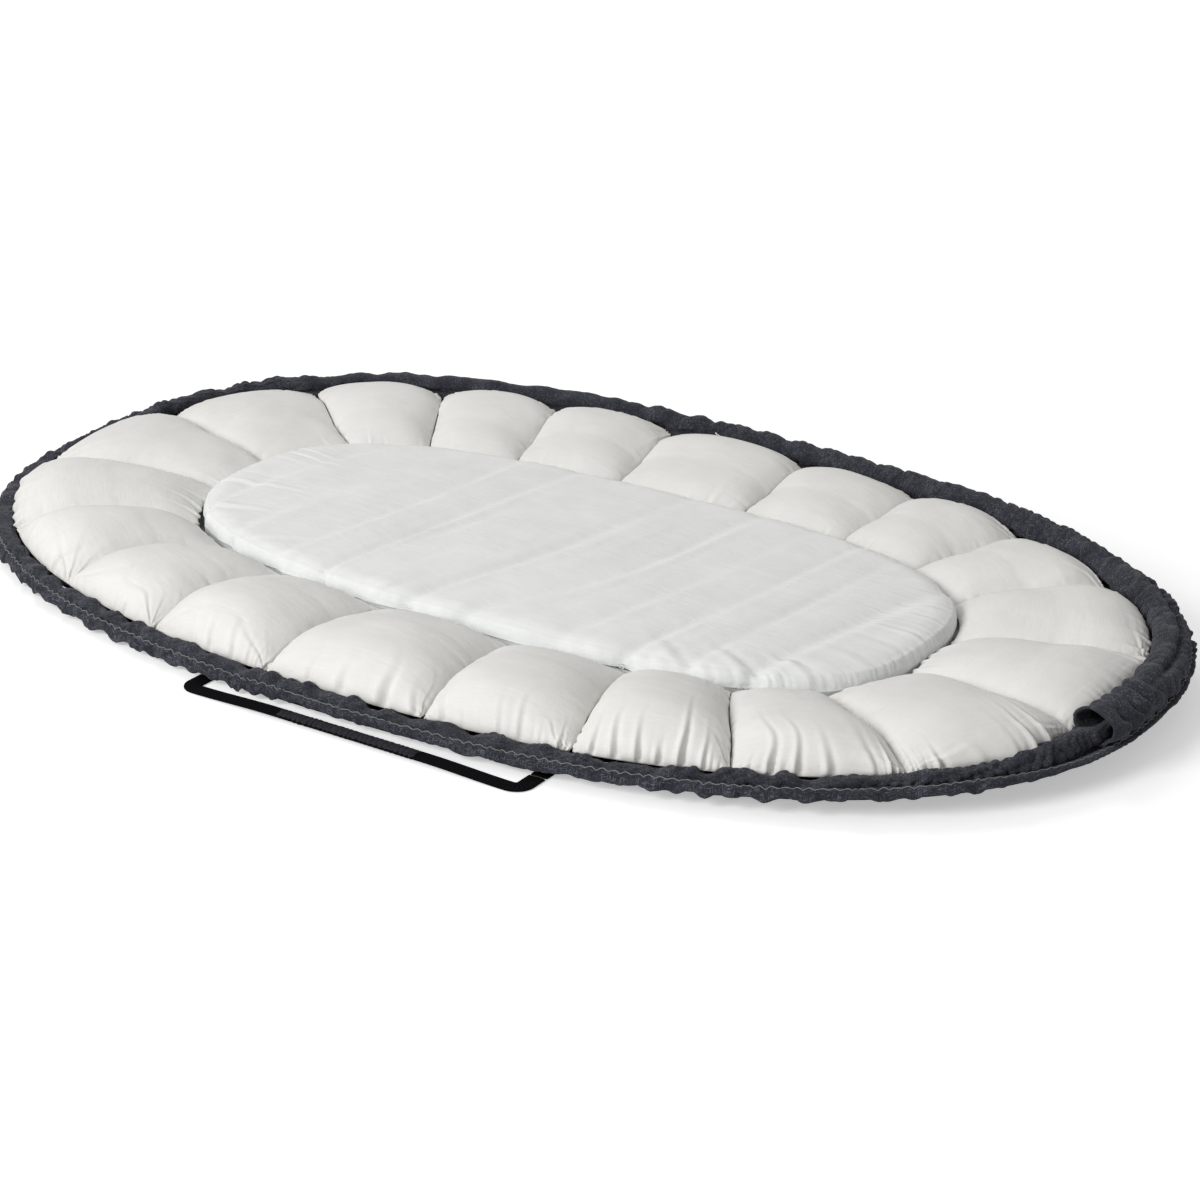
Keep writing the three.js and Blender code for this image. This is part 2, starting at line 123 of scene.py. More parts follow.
class LoungerColours(bpy.types.PropertyGroup):
    """Colours of the cloths."""

    ring: colour_setting("Ring cotton", "Cotton of the bolsters", (0.82, 0.81, 0.78))
    pad: colour_setting("Pad cotton", "Cotton of the pad's cover", (0.88, 0.885, 0.865))
    lining: colour_setting("Lining", "Cloth under the pad and the bolsters", (0.62, 0.64, 0.65))
    melange: colour_setting("Melange yarn", "Dark yarn of the rim and the shell", (0.034, 0.0355, 0.046))
    fleck: colour_setting("Melange fleck", "Pale yarn of the rim and the shell", (0.20, 0.205, 0.235))
    webbing: colour_setting("Webbing", "Straps and handles", (0.0035, 0.0035, 0.0042))
    thread: colour_setting("Thread", "Sewing thread of the rim", (0.20, 0.20, 0.21))


class LoungerStage(bpy.types.PropertyGroup):
    """Camera and lamps."""

    camera_place: bpy.props.FloatVectorProperty(
        name="Camera", description="Place of the camera", subtype="XYZ", unit="LENGTH", size=3,
        default=(1.1738, -1.9089, 0.9043),
    )
    camera_azimuth: number_setting(
        "Azimuth", "Turn of the view about the upright axis", math.radians(30.84), unit="ROTATION"
    )
    camera_elevation: number_setting(
        "Elevation", "Angle at which the camera looks down", math.radians(22.16), unit="ROTATION"
    )
    camera_roll: number_setting(
        "Roll", "Turn of the camera about its own axis", math.radians(2.34), unit="ROTATION"
    )
    lens: number_setting("Lens", "Focal length", 87.06, unit="CAMERA")
    key_power: number_setting("Key lamp", "Power of the large lamp overhead", 25.0, unit="POWER")
    fill_power: number_setting("Fill lamp", "Power of the lamp beside the camera", 105.0, unit="POWER")
    sky: number_setting("Sky", "Strength of the even light from all round", 0.345)


# Curves and noise that the pieces share

def ease(low, high, value):
    """A smooth step from 0 at low to 1 at high."""
    share = np.clip((value - low) / (high - low), 0, 1)
    return share * share * (3 - 2 * share)


def mix(first, second, share):
    return first + (second - first) * share


def bump(value, middle, width):
    """1 at a middle, falling away to 0 on both sides."""
    return np.exp(-(((value - middle) / width) ** 2))


def around(round_share):
    """Cosine and sine of a share of a full turn."""
    angle = round_share * 2 * np.pi
    return np.cos(angle), np.sin(angle)


def boxy(wave, power):
    """A cosine or sine whose power below 1 squares a round section, and above 1 hollows it."""
    return np.sign(wave) * np.abs(wave) ** power


def drift(x, y, seed=0.0):
    """Smooth noise from -1 to 1 over a plane, the same in every run."""
    x, y = np.broadcast_arrays(np.asarray(x, float), np.asarray(y, float))
    x_cell, y_cell = np.floor(x), np.floor(y)
    x_share, y_share = ease(0, 1, x - x_cell), ease(0, 1, y - y_cell)

    def corner(column, row):
        value = np.sin(column * 127.1 + row * 311.7 + seed * 74.7) * 43758.5453
        return 2 * (value - np.floor(value)) - 1

    near = mix(corner(x_cell, y_cell), corner(x_cell + 1, y_cell), x_share)
    far = mix(corner(x_cell, y_cell + 1), corner(x_cell + 1, y_cell + 1), x_share)
    return mix(near, far, y_share)


def fold(phase, fullness=0.75):
    """Round folds with narrow creases between them: 1 on a fold, 0 in a crease, once in each unit."""
    return np.abs(np.sin(np.pi * phase)) ** fullness


def crease(phase):
    """A sharp fold with a valley on one side, once in each unit."""
    beside = phase - np.rint(phase)
    return bump(beside, 0, 0.12) - 0.9 * bump(beside, 0.24, 0.12)


def lean(phase):
    """Pleats that lie over to one side, one in each unit."""
    share = np.mod(phase, 1)
    return share**0.8 * (1 - share**7)


def gathers(phase, from_edge, reach, seed, profile):
    """Folds that start at a gathered edge, each with its own length and strength."""
    strength = np.maximum(0.42 + 1.1 * drift(phase * 0.83, 4.1, seed), 0.05)
    length = reach * np.maximum(0.9 + 0.65 * drift(phase * 0.8, 0.3, seed + 3), 0.25)
    return strength * profile * np.exp(-((np.maximum(from_edge, 0) / length) ** 1.4))


# Plan of the mat, in metres and in turns of its outline from +X

# Shares of a quarter outline at which the seams of the ring lie, from the end of the mat to its side
INNER_SEAM_SHARES = (0.078, 0.282, 0.439, 0.625, 0.857)
OUTER_SEAM_SHARES = (0.122, 0.357, 0.545, 0.719, 0.896)
MOUTH_TURN = -0.028
MOUTH_FADE_POWER = 4
LIFT_POWER = 3
CLOTH_GAP = 0.0003
CASING_WALL = 0.002
# How far the slumped casing lies outside its tube at its mouth, beside its tail and on the low rim
MOUTH_SLUMP = 0.008
TAIL_SLUMP = 0.0042
LOW_SLUMP = 0.0026


class Oval:
    """An oval between an ellipse and a rectangle, measured in turns of its own length from +X."""

    def __init__(self, length, width, power):
        angle = np.linspace(0, 2 * np.pi, 14401)
        self.x = length / 2 * boxy(np.cos(angle), 2 / power)
        self.y = width / 2 * boxy(np.sin(angle), 2 / power)
        along = np.concatenate([[0], np.cumsum(np.hypot(np.diff(self.x), np.diff(self.y)))])
        self.length = along[-1]
        self.share = along / self.length

    def at(self, turn):
        share = np.mod(turn, 1)
        return np.stack([np.interp(share, self.share, self.x), np.interp(share, self.share, self.y)], -1)


class MatPlan:
    """Where the mat's outline, rim, shell and ring of bolsters lie."""

    def __init__(self, sizes):
        self.sizes = sizes
        self.outline = Oval(sizes.mat_length, sizes.mat_width, sizes.mat_power)
        self.nest = Oval(sizes.nest_length, sizes.nest_width, sizes.nest_power)
        self.inner_seams = self.seam_turns(INNER_SEAM_SHARES)
        self.outer_seams = self.seam_turns(OUTER_SEAM_SHARES)
        self.approach = sizes.tail_approach / self.outline.length
        self.insert = sizes.tail_insert / self.outline.length
        self.rise_reach = self.rise_way(self.outline.x, self.outline.y).max()
        self.mouth_inset = sizes.header_width + CLOTH_GAP + sizes.mouth_radius
        self.tail_rise = CLOTH_GAP + CASING_WALL + CLOTH_GAP + sizes.tail_radius

    @staticmethod
    def seam_turns(shares):
        turns = []
        for quarter in range(4):
            ordered = [1 - share for share in reversed(shares)] if quarter % 2 else shares
            turns += [(quarter + share) / 4 for share in ordered]
        return turns

    def inset(self, turn, inset):
        """Points on the floor plan that lie inset from the outline."""
        along = self.outline.at(turn + 1e-3) - self.outline.at(turn - 1e-3)
        along /= np.linalg.norm(along, axis=-1, keepdims=True)
        inward = np.stack([-along[..., 1], along[..., 0]], -1)
        return self.outline.at(turn) + inward * np.asarray(inset)[..., None]

    def rise_way(self, x, y):
        """How far a point lies along the slanted way on which the shell's edge rises."""
        return y * math.cos(self.sizes.lift_slant) - x * math.sin(self.sizes.lift_slant)

    def edge_lift(self, turn):
        """Height of the shell's edge: low in front, raised at the back and at the end with the mouth."""
        sizes = self.sizes
        edge = self.outline.at(turn)
        share = np.clip((self.rise_way(edge[..., 0], edge[..., 1]) / self.rise_reach + 1) / 2, 0, 1)
        end_share = np.maximum(edge[..., 0], 0) / (sizes.mat_length / 2)
        return mix(sizes.front_lift, sizes.back_lift, share**LIFT_POWER) + sizes.end_lift * end_share**2

    def low_rim(self, turn):
        """1 where the shell's edge lies on the floor, 0 where it is raised."""
        return ease(0.014, 0.006, self.edge_lift(turn))

    def over_ledge(self, turn, inset, rise):
        """Points over the flat edge of the shell that the rim is sewn to."""
        plan = self.inset(turn, inset)
        height = self.edge_lift(turn) + self.sizes.shell_thickness + rise
        return np.concatenate([plan, np.broadcast_to(height, plan.shape[:-1])[..., None]], -1)

    def lane(self, travel):
        """Inset, rise and radius of the casing, from 0 at its mouth to 1 where its tail reaches the mouth."""
        sizes = self.sizes
        extra = (sizes.mouth_radius - sizes.casing_radius) * np.maximum(1 - travel, 0) ** MOUTH_FADE_POWER
        radius = sizes.casing_radius + extra
        near = ease(1 - self.approach, 1, travel)
        return (
            mix(sizes.header_width + CLOTH_GAP + radius, self.mouth_inset, near),
            mix(CLOTH_GAP + radius, self.tail_rise, near),
            mix(radius, sizes.tail_radius, near),
        )

    def past_mouth(self, turn):
        """Length along the outline from the mouth, less than 0 on the tail's side."""
        return (np.mod(turn - MOUTH_TURN + 0.5, 1) - 0.5) * self.outline.length

    def slump(self, turn):
        """How far the casing has sunk outwards over the header: 1 at its mouth, 0 away from it."""
        past = self.past_mouth(turn)
        return np.where(past > 0, 1 - ease(0.03, 0.34, past), ease(-0.13, -0.01, past))

    def by_tail(self, turn):
        """1 beside the bare end of the tail, 0 elsewhere."""
        past = self.past_mouth(turn)
        return ease(-0.11, -0.05, past) * ease(0.004, -0.014, past)

    def rim_width(self, turn):
        """Distance from the outline to the inner side of the rim."""
        travel = np.mod(turn - MOUTH_TURN, 1)
        inset, _, radius = self.lane(travel)
        near = ease(1 - self.approach, 1 - self.insert / 2, travel)
        return mix(inset + radius, self.mouth_inset + self.sizes.mouth_radius, near)

    def lift(self, turn, inset):
        """Height that the shell has gained at an inset from the outline."""
        band = self.sizes.lift_band
        share = (band - inset) / (band - self.rim_width(turn))
        return self.edge_lift(turn) * np.clip(share, 0, 1)

    def outer_turns(self, index):
        """Turns of a bolster's two seams at the rim."""
        return self.outer_seams[index - 1] - (index == 0), self.outer_seams[index]

    def raised(self, index):
        """How far a bolster lies on the part of the shell that stands up: 0 in front, 1 at the back."""
        middle = np.array([sum(self.outer_turns(index)) / 2])
        sooner = 0.009 * np.clip(-self.outline.at(middle)[0, 0] / 0.4, 0, 1)
        return float(ease(0.019 - sooner, 0.031 - sooner, self.edge_lift(middle)[0]))

    def cell(self, index, across, out):
        """Floor plan and lift of a pocket: across from seam to seam, out from the nest to the rim."""
        seam_gap, by_slump, by_tail = 0.0006, 0.0075, 0.0045
        inner = self.nest.at(mix(self.inner_seams[index - 1] - (index == 0), self.inner_seams[index], across))
        turn = mix(*self.outer_turns(index), across)
        closer = by_slump * self.slump(turn) + by_tail * self.by_tail(turn) + LOW_SLUMP * self.low_rim(turn)
        outer = self.inset(turn, self.rim_width(turn) + seam_gap - closer)
        edge = self.outline.at(turn)
        inward = (outer - edge) / np.linalg.norm(outer - edge, axis=-1, keepdims=True)
        plan = inner + (outer - inner) * np.asarray(out)[..., None]
        return plan, self.lift(turn, ((plan - edge) * inward).sum(-1))


# Mesh work that the cloth pieces share

def points_of(mesh, attribute="co"):
    flat = np.empty(len(mesh.vertices) * 3)
    mesh.vertices.foreach_get(attribute, flat)
    return flat.reshape(-1, 3)


def corner_points(mesh):
    corners = np.empty(len(mesh.loops), int)
    mesh.loops.foreach_get("vertex_index", corners)
    return corners


def grid_mesh(name, columns, rows, place, cloth_size, closed=False):
    """A grid whose points are placed by their two shares, welded where opposite edges meet if it is closed.

    Its UV map is in metres of cloth, so that weaves keep their real size and follow the piece.
    """
    grid = bmesh.new()
    bmesh.ops.create_grid(grid, x_segments=columns, y_segments=rows, size=0.5)
    mesh = bpy.data.meshes.new(name)
    grid.to_mesh(mesh)
    grid.free()
    shares = np.clip(points_of(mesh)[:, :2] + 0.5, 0, 1)
    layer = mesh.uv_layers.get("Cloth") or mesh.uv_layers.new(name="Cloth")
    cloth = (shares * np.array(cloth_size))[corner_points(mesh)]
    layer.uv.foreach_set("vector", cloth.astype(np.float32).ravel())
    mesh.vertices.foreach_set("co", place(shares[:, 0], shares[:, 1]).ravel())
    if closed:
        weld(mesh)
    return mesh


def weld(mesh, distance=8e-6):
    shape = bmesh.new()
    shape.from_mesh(mesh)
    bmesh.ops.remove_doubles(shape, verts=shape.verts, dist=distance)
    bmesh.ops.dissolve_degenerate(shape, edges=shape.edges, dist=distance / 4)
    bmesh.ops.recalc_face_normals(shape, faces=shape.faces)
    shape.to_mesh(mesh)
    shape.free()


def two_sheets(name, columns, rows, place, cloth_size):
    """A sewn envelope: an upper and a lower sheet that are joined all round their edges."""
    sheets = [
        grid_mesh(name, columns, rows, lambda u, v, side=side: place(u, v, side), cloth_size)
        for side in (1, -1)
    ]
    shape = bmesh.new()
    for sheet in sheets:
        shape.from_mesh(sheet)
    shape.to_mesh(sheets[0])
    shape.free()
    weld(sheets[0])
    bpy.data.meshes.remove(sheets[1])
    return sheets[0]


def oval_grid(u, v, power):
    """How far each point of a square grid is from its middle, and the point of an oval that it faces."""
    across, out = np.where(np.abs(2 * u - 1) < 1e-6, 1e-6, 2 * u - 1), 2 * v - 1
    reach = np.maximum(np.abs(across), np.abs(out))
    across, out = across / reach, out / reach
    stretch = (np.abs(across) ** power + np.abs(out) ** power) ** (-1 / power)
    return reach, across * stretch, out * stretch


def lift_along_normals(mesh, amounts):
    points = points_of(mesh) + points_of(mesh, "normal") * amounts[:, None]
    mesh.vertices.foreach_set("co", points.ravel())
    mesh.update()


def make_finer(piece):
    """Splits each face in four and rounds the mesh."""
    finer = piece.modifiers.new("Finer", "SUBSURF")
    finer.levels = finer.render_levels = 1
    shapes = bpy.context.evaluated_depsgraph_get()
    coarse, piece.data = piece.data, bpy.data.meshes.new_from_object(piece.evaluated_get(shapes))
    piece.modifiers.clear()
    bpy.data.meshes.remove(coarse)


def add_piece(name, mesh, body, material, nodes=()):
    """Puts a finished mesh in the scene as a smooth piece of one body."""
    piece = bpy.data.objects.new(name, mesh)
    bpy.context.scene.collection.objects.link(piece)
    mesh.materials.clear()
    mesh.materials.append(material)
    mesh.shade_smooth()
    if body:
        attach(piece, body)
    if nodes:
        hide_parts(*nodes)
    return piece


# Cloths

class Nodes:
    """The node tree of a material or a world, with short calls for its nodes."""

    def __init__(self, owner):
        owner.use_nodes = True
        self.tree = owner.node_tree

    def node(self, kind, inputs=None, **settings):
        """A new node. A socket among its inputs is linked, and anything else is set."""
        node = self.tree.nodes.new(kind)
        for name, value in settings.items():
            setattr(node, name, value)
        for name, value in (inputs or {}).items():
            if isinstance(value, bpy.types.NodeSocket):
                self.tree.links.new(value, node.inputs[name])
            else:
                node.inputs[name].default_value = value
        return node

    def math(self, operation, first, second):
        return self.node("ShaderNodeMath", {0: first, 1: second}, operation=operation).outputs["Value"]

    def object_space(self):
        return self.node("ShaderNodeTexCoord").outputs["Object"]

    def seen_by(self, *rays):
        """1 for the named kinds of ray, and 0 for the others."""
        path = self.node("ShaderNodeLightPath").outputs
        seen = path[rays[0]]
        for ray in rays[1:]:
            seen = self.math("MAXIMUM", seen, path[ray])
        return seen


class Cloth(Nodes):
    """One cloth's node tree, with short calls for what the cloths share."""

    def __init__(self, name, roughness, sheen, specular):
        self.material = bpy.data.materials.new(name)
        super().__init__(self.material)
        self.shader = self.tree.nodes["Principled BSDF"]
        self.shader.inputs["Roughness"].default_value = roughness
        self.shader.inputs["Sheen Weight"].default_value = sheen
        self.shader.inputs["Sheen Roughness"].default_value = 0.5
        self.shader.inputs["Specular IOR Level"].default_value = specular

    def cloth_space(self, scale=(1, 1, 1), turn=0.0):
        """Metres along and across the cloth."""
        source = self.node("ShaderNodeUVMap", uv_map="Cloth").outputs["UV"]
        mapping = self.node("ShaderNodeMapping", {"Vector": source, "Scale": scale, "Rotation": (0, 0, turn)})
        return mapping.outputs["Vector"]

    def waves(self, space, pitch, axis, wobble=0.0):
        """Threads across an axis, one to each pitch."""
        shape = {"Scale": 0.314 / pitch, "Distortion": wobble, "Detail": 1.0, "Detail Scale": 0.7}
        return self.node("ShaderNodeTexWave", {"Vector": space, **shape}, bands_direction=axis).outputs["Fac"]

    def weave(self, pitch, wobble):
        """Threads that cross each other."""
        threads = self.cloth_space()
        return self.math("MAXIMUM", *[self.waves(threads, pitch, axis, wobble) for axis in "XY"])

    def noise(self, space, scale=1.0, detail=2.0):
        inputs = {"Vector": space, "Scale": scale, "Detail": detail, "Roughness": 0.55}
        return self.node("ShaderNodeTexNoise", inputs).outputs["Fac"]

    def blend(self, first, second, share):
        """A share of the first added to the rest of the second."""
        return self.math("ADD", self.math("MULTIPLY", first, share), self.math("MULTIPLY", second, 1 - share))

    def colours(self, factor, stops):
        ramp = self.node("ShaderNodeValToRGB", {"Fac": factor})
        for place, colour in stops[2:]:
            ramp.color_ramp.elements.new(place)
        for element, (place, colour) in zip(ramp.color_ramp.elements, stops):
            element.position = place
            element.color = (*colour, 1)
        self.tree.links.new(ramp.outputs["Color"], self.shader.inputs["Base Color"])

    def raise_surface(self, layers):
        """Bumps, from the broadest to the finest: height, distance in metres and strength of each."""
        normal = {}
        for height, distance, strength in layers:
            inputs = {"Height": height, "Distance": distance, "Strength": strength}
            normal = {"Normal": self.node("ShaderNodeBump", {**inputs, **normal}).outputs["Normal"]}
        self.tree.links.new(normal["Normal"], self.shader.inputs["Normal"])


def toned(colour, share):
    return tuple(min(part * share, 1.0) for part in colour)


def plain_cotton(name, colour, hem_height=None):
    """Fine plain-weave cotton, faintly uneven in tone, through which a hem shows up to a height."""
    cloth = Cloth(name, roughness=0.9, sheen=0.12, specular=0.2)
    weave = cloth.weave(0.0009, 0.6)
    slubs = cloth.noise(cloth.cloth_space(scale=(60, 900, 1)), detail=3.0)
    mottle = cloth.noise(cloth.object_space(), 26.0, 4.0)
    creases = cloth.noise(cloth.cloth_space(scale=(34, 130, 1), turn=0.35), detail=3.0)
    tone = cloth.blend(slubs, mottle, 0.4)
    cloth.colours(tone, [(0.36, toned(colour, 0.955)), (0.66, toned(colour, 1.035))])
    if hem_height:
        tint, fade, wander = (0.955, 0.97, 0.98, 1), 0.0025, 0.004
        height = cloth.node("ShaderNodeSeparateXYZ", {"Vector": cloth.object_space()}).outputs["Z"]
        height = cloth.math("ADD", height, cloth.math("MULTIPLY", mottle, wander))
        ends = {"From Min": hem_height + fade, "From Max": hem_height}
        inside = cloth.node("ShaderNodeMapRange", {"Value": height, **ends}).outputs["Result"]
        base = cloth.shader.inputs["Base Color"]
        inputs = {"Factor": inside, 6: base.links[0].from_socket, 7: tint}
        shown = cloth.node("ShaderNodeMix", inputs, data_type="RGBA", blend_type="MULTIPLY")
        cloth.tree.links.new(shown.outputs[2], base)
    cloth.raise_surface(
        [(mottle, 0.0035, 0.35), (creases, 0.0012, 0.45), (slubs, 0.0003, 0.25), (weave, 0.00025, 0.3)]
    )
    return cloth.material


def melange_cloth(name, yarn, fleck):
    """Charcoal cloth of dark and pale yarns, with pale flecks that run along the threads."""
    cloth = Cloth(name, roughness=0.95, sheen=0.12, specular=0.05)
    warp = cloth.noise(cloth.cloth_space(scale=(260, 1700, 1)))
    weft = cloth.noise(cloth.cloth_space(scale=(1700, 260, 1)))
    broad = cloth.noise(cloth.object_space(), 55.0, 3.0)
    yarns = cloth.blend(cloth.math("MAXIMUM", warp, weft), broad, 0.8)
    cloth.colours(yarns, [(0.40, toned(yarn, 0.55)), (0.55, yarn), (0.74, fleck)])
    weave = cloth.weave(0.0012, 1.0)
    cloth.raise_surface([(broad, 0.0015, 0.4), (yarns, 0.0005, 0.5), (weave, 0.0003, 0.35)])
    return cloth.material


def woven_webbing(name, colour, pitch, slant=0.6):
    """Ribbed webbing with a slanting weave, or gathered webbing whose ribs run straight across it. Its colour
    carries a painted highlight on the rib crests and painted shade in the grooves.
    """
    cloth = Cloth(name, roughness=0.9, sheen=0.0, specular=0.02)
    ribs = cloth.waves(cloth.cloth_space(turn=slant), pitch, "X", 0.3)
    fine = cloth.waves(cloth.cloth_space(), pitch / 2.3, "Y", 0.4)
    fluff = cloth.noise(cloth.object_space(), 420.0)
    # Colour follows the ribs from 0.6 to 2.6 times the yarn's colour: painted highlight on the rib crests and
    # painted shade in the grooves, over a random tone of fluff
    cloth.colours(cloth.blend(ribs, fluff, 0.6), [(0.25, toned(colour, 0.6)), (0.85, toned(colour, 2.6))])
    cloth.raise_surface([(ribs, 0.0004, 0.7), (fine, 0.0002, 0.4)])
    return cloth.material


def sewing_thread(name, colour):
    cloth = Cloth(name, roughness=0.6, sheen=0.0, specular=0.4)
    twist = cloth.waves(cloth.cloth_space(turn=0.8), 0.0007, "X")
    # Colour runs from 0.7 to 1.25 times the thread's colour along its twist: painted highlight on each ply and
    # painted shade between the plies
    cloth.colours(twist, [(0.2, toned(colour, 0.7)), (0.8, toned(colour, 1.25))])
    cloth.raise_surface([(twist, 0.0001, 0.5)])
    return cloth.material


def cloths(context):
    """The materials, made once and then found by name."""
    palette = context.scene.lounger_colours
    makers = {
        "ring_cotton": lambda name: plain_cotton(name, palette.ring),
        "pad_cotton": lambda name: plain_cotton(name, palette.pad, hem_height=0.034),
        "lining_cotton": lambda name: plain_cotton(name, palette.lining),
        "charcoal_melange": lambda name: melange_cloth(name, palette.melange, palette.fleck),
        "ribbed_webbing": lambda name: woven_webbing(name, palette.webbing, 0.0022),
        # The gathered grip is the same black webbing with its colour made seven times lighter: a painted sheen
        # for the light that its gathers catch
        "ruched_webbing": lambda name: woven_webbing(name, toned(palette.webbing, 7), 0.0018, slant=0.0),
        "rim_thread": lambda name: sewing_thread(name, palette.thread),
        "cotton_thread": lambda name: sewing_thread(name, toned(palette.ring, 0.92)),
    }
    return {name: bpy.data.materials.get(name) or make(name) for name, make in makers.items()}


# Bolsters

POCKET_CLOTH = (0.115, 0.14)
POCKET_HALF = (0.055, 0.068)
# Where a pocket's crown lies, from -1 at the nest to 1 at the rim
CROWN_OUT = 0.24
# Share of the shell's rise that a crown doesn't follow
CROWN_SINK = 0.75
LIFT_PLAY = 0.0018
SEAM_PLAY = 0.0002


def seam_sway(seam, out):
    """How far a seam wanders sideways between nest and rim, the same for both its neighbours."""
    bow = 0.0022 * math.sin(seam * 12.9)
    snake = 0.0014 * math.sin(seam * 7.3 + 1.1)
    return bow * np.sin(np.pi * out) + snake * np.sin(2 * np.pi * out)


def pocket_rise(sizes, index, raised, across, out, seam):
    """Share of a pocket's height that its upper sheet reaches, from its seam to its crown."""
    tilt = 0.07 * math.sin(index * 4.1)
    middle = np.clip(np.abs(across + tilt * (1 - across**2)), 0, 1)
    beyond = np.clip((out - CROWN_OUT) / (1 - CROWN_OUT), 0, 1)
    before = np.clip((CROWN_OUT - out) / (1 + CROWN_OUT), 0, 1)
    along = np.where(out > CROWN_OUT, np.sqrt(1 - beyond ** (2.4 - 0.6 * raised)), (1 - before**2.1) ** 0.68)
    lower_at_back_left = 0.10 * bump(index, 9.4, 1.2)
    top = sizes.crown_share + 0.03 * math.sin(index * 2.7) - lower_at_back_left
    return mix(seam, top, (1 - middle**2.1) ** 0.52 * along)


def bolster_surface(plan, index, u, v, side):
    """A stuffed pocket's upper or lower sheet; u runs from seam to seam and v from the nest to the rim."""
    sizes = plan.sizes
    across, out = (mix(2 * share - 1, np.sin(np.pi / 2 * (2 * share - 1)), 0.7) for share in (u, v))
    low = ease(1.0, 0.9, np.maximum(np.abs(across), np.abs(out)))
    corner = 1 - 0.018 * (np.abs(across) * np.abs(out)) ** 7
    spread = corner * (1.0 if side > 0 else 1 - 0.12 * low)
    raised = plan.raised(index)
    drawn_in = 1 - raised * (0.04 + 0.10 * np.abs(across) ** 3) * ease(0.2, 1.0, out)
    x, y = across * spread, out * spread * drawn_in
    y = y + 0.020 * (1 - raised) * ease(0.70 if side > 0 else 0.93, 1.0, out)
    if side > 0:
        y = y - 0.016 * ease(-1.0, -0.975, out) * ease(-0.80, -0.93, out)
    share_across, share_out = (1 + x) / 2, (1 + y) / 2
    ends = [plan.cell(index, np.full_like(y, edge), share_out)[0] for edge in (0.0, 1.0)]
    width = np.linalg.norm(ends[1] - ends[0], axis=-1)
    count = len(plan.inner_seams)
    sway = mix(seam_sway((index - 1) % count, share_out), seam_sway(index, share_out), share_across)
    place = mix(SEAM_PLAY / width, 1 - SEAM_PLAY / width, share_across) + sway / width
    floor_plan, lift = plan.cell(index, place, share_out)
    seam = 0.42 - mix(0.285, 0.36, raised) * ease(0.35, 1.0, out) - 0.08 * ease(-0.6, -1.0, out)
    rise = pocket_rise(sizes, index, raised, across, out, seam) if side > 0 else seam * (1 - low)
    base = (lift + np.where(lift > 0, LIFT_PLAY, 0)) * (1 - CROWN_SINK * rise)
    z = base + mix(sizes.bolster_bottom, sizes.bolster_top, rise)
    return np.column_stack([floor_plan, z])


def bolster_gathers(index, raised, u, v):
    """Height of the small folds where a pocket is gathered at its ends, seams and corners."""
    across, out = 2 * u - 1, 2 * v - 1
    side = np.sign(across)
    from_rim, from_nest = (1 - out) * POCKET_HALF[1], (1 + out) * POCKET_HALF[1]
    from_seam = (1 - np.abs(across)) * POCKET_HALF[0]
    bend = 0.40 * drift(v * 5, u * 3, index + 0.3)
    rim = u * (7.6 + index % 3) + bend + 0.7 * drift(u * 4, 0, index)
    tuck = rim * 2.1 + 0.5 * drift(u * 9, v * 3, index + 80)
    nest = u * (6 + index % 2) + bend
    seam = v * (10 + index % 4) + 0.8 * drift(v * 4, side, index + 5) + 0.35 * across
    from_corner = np.hypot(from_rim, from_seam)
    corner = np.arctan2(from_rim + 1e-6, from_seam + 1e-6) * 2.3 + 0.4 * drift(from_corner * 60, side, index)
    soft = 0.0012 * drift(u * 2.3, v * 2.6, index + 4) + 0.0008 * drift(u * 5, v * 6, index + 6)
    inside = np.minimum(1, from_seam / 0.003) * np.minimum(1, np.minimum(from_rim, from_nest) / 0.002)
    near_mouth = bump((index - 19 + 10) % 20, 10, 2.4)
    front = mix(1.0 + 0.45 * near_mouth, 0.3, raised)
    return inside * (
        0.0030 * front * gathers(rim, from_rim, mix(0.014, 0.018, near_mouth), index, crease(rim))
        + 0.0024 * front * gathers(tuck, from_rim, 0.010, index + 30, fold(tuck, 0.55) - 0.62)
        + 0.0022 * gathers(nest, from_nest, 0.014, index + 20, crease(nest))
        + 0.0020 * gathers(seam, from_seam, 0.011, index + 40, fold(seam) - 0.62)
        + 0.0022 * gathers(corner, from_corner, 0.030, index + 60, crease(corner))
        + soft
    )


def let_settle(pieces, sewn, slack, growth, pressure, steps, cap):
    """Blows the sewn pieces up as real cloth that is too large for its seams where it is slack."""
    scene = bpy.context.scene
    for piece, points, amounts in zip(pieces, sewn, slack):
        group = piece.vertex_groups.new(name="sewn")
        group.add(points, 1.0, "REPLACE")
        loose = piece.vertex_groups.new(name="slack")
        for point, amount in enumerate(amounts):
            loose.add([point], float(amount), "REPLACE")
        cloth = piece.modifiers.new("Cloth", "CLOTH")
        settings = cloth.settings
        settings.quality = 6
        settings.vertex_group_mass = group.name
        settings.vertex_group_shrink = loose.name
        settings.shrink_min = 0
        settings.shrink_max = -growth
        settings.use_pressure = True
        settings.uniform_pressure_force = pressure
        settings.effector_weights.gravity = 0
        settings.tension_stiffness = settings.compression_stiffness = 25
        settings.bending_stiffness = 0.02
        settings.air_damping = 2
        cloth.collision_settings.use_collision = False
        cloth.point_cache.frame_start = 1
        cloth.point_cache.frame_end = steps
    for step in range(1, steps + 1):
        scene.frame_set(step)
    shapes = bpy.context.evaluated_depsgraph_get()
    for piece in pieces:
        before, after = points_of(piece.data), points_of(piece.evaluated_get(shapes).data)
        moved = after - before
        reach = np.linalg.norm(moved, axis=1, keepdims=True)
        moved *= cap * np.tanh(reach / cap) / np.maximum(reach, 1e-9)
        piece.data.vertices.foreach_set("co", (before + moved).ravel())
        piece.data.update()
        piece.modifiers.clear()
        piece.vertex_groups.clear()
    scene.frame_set(1)


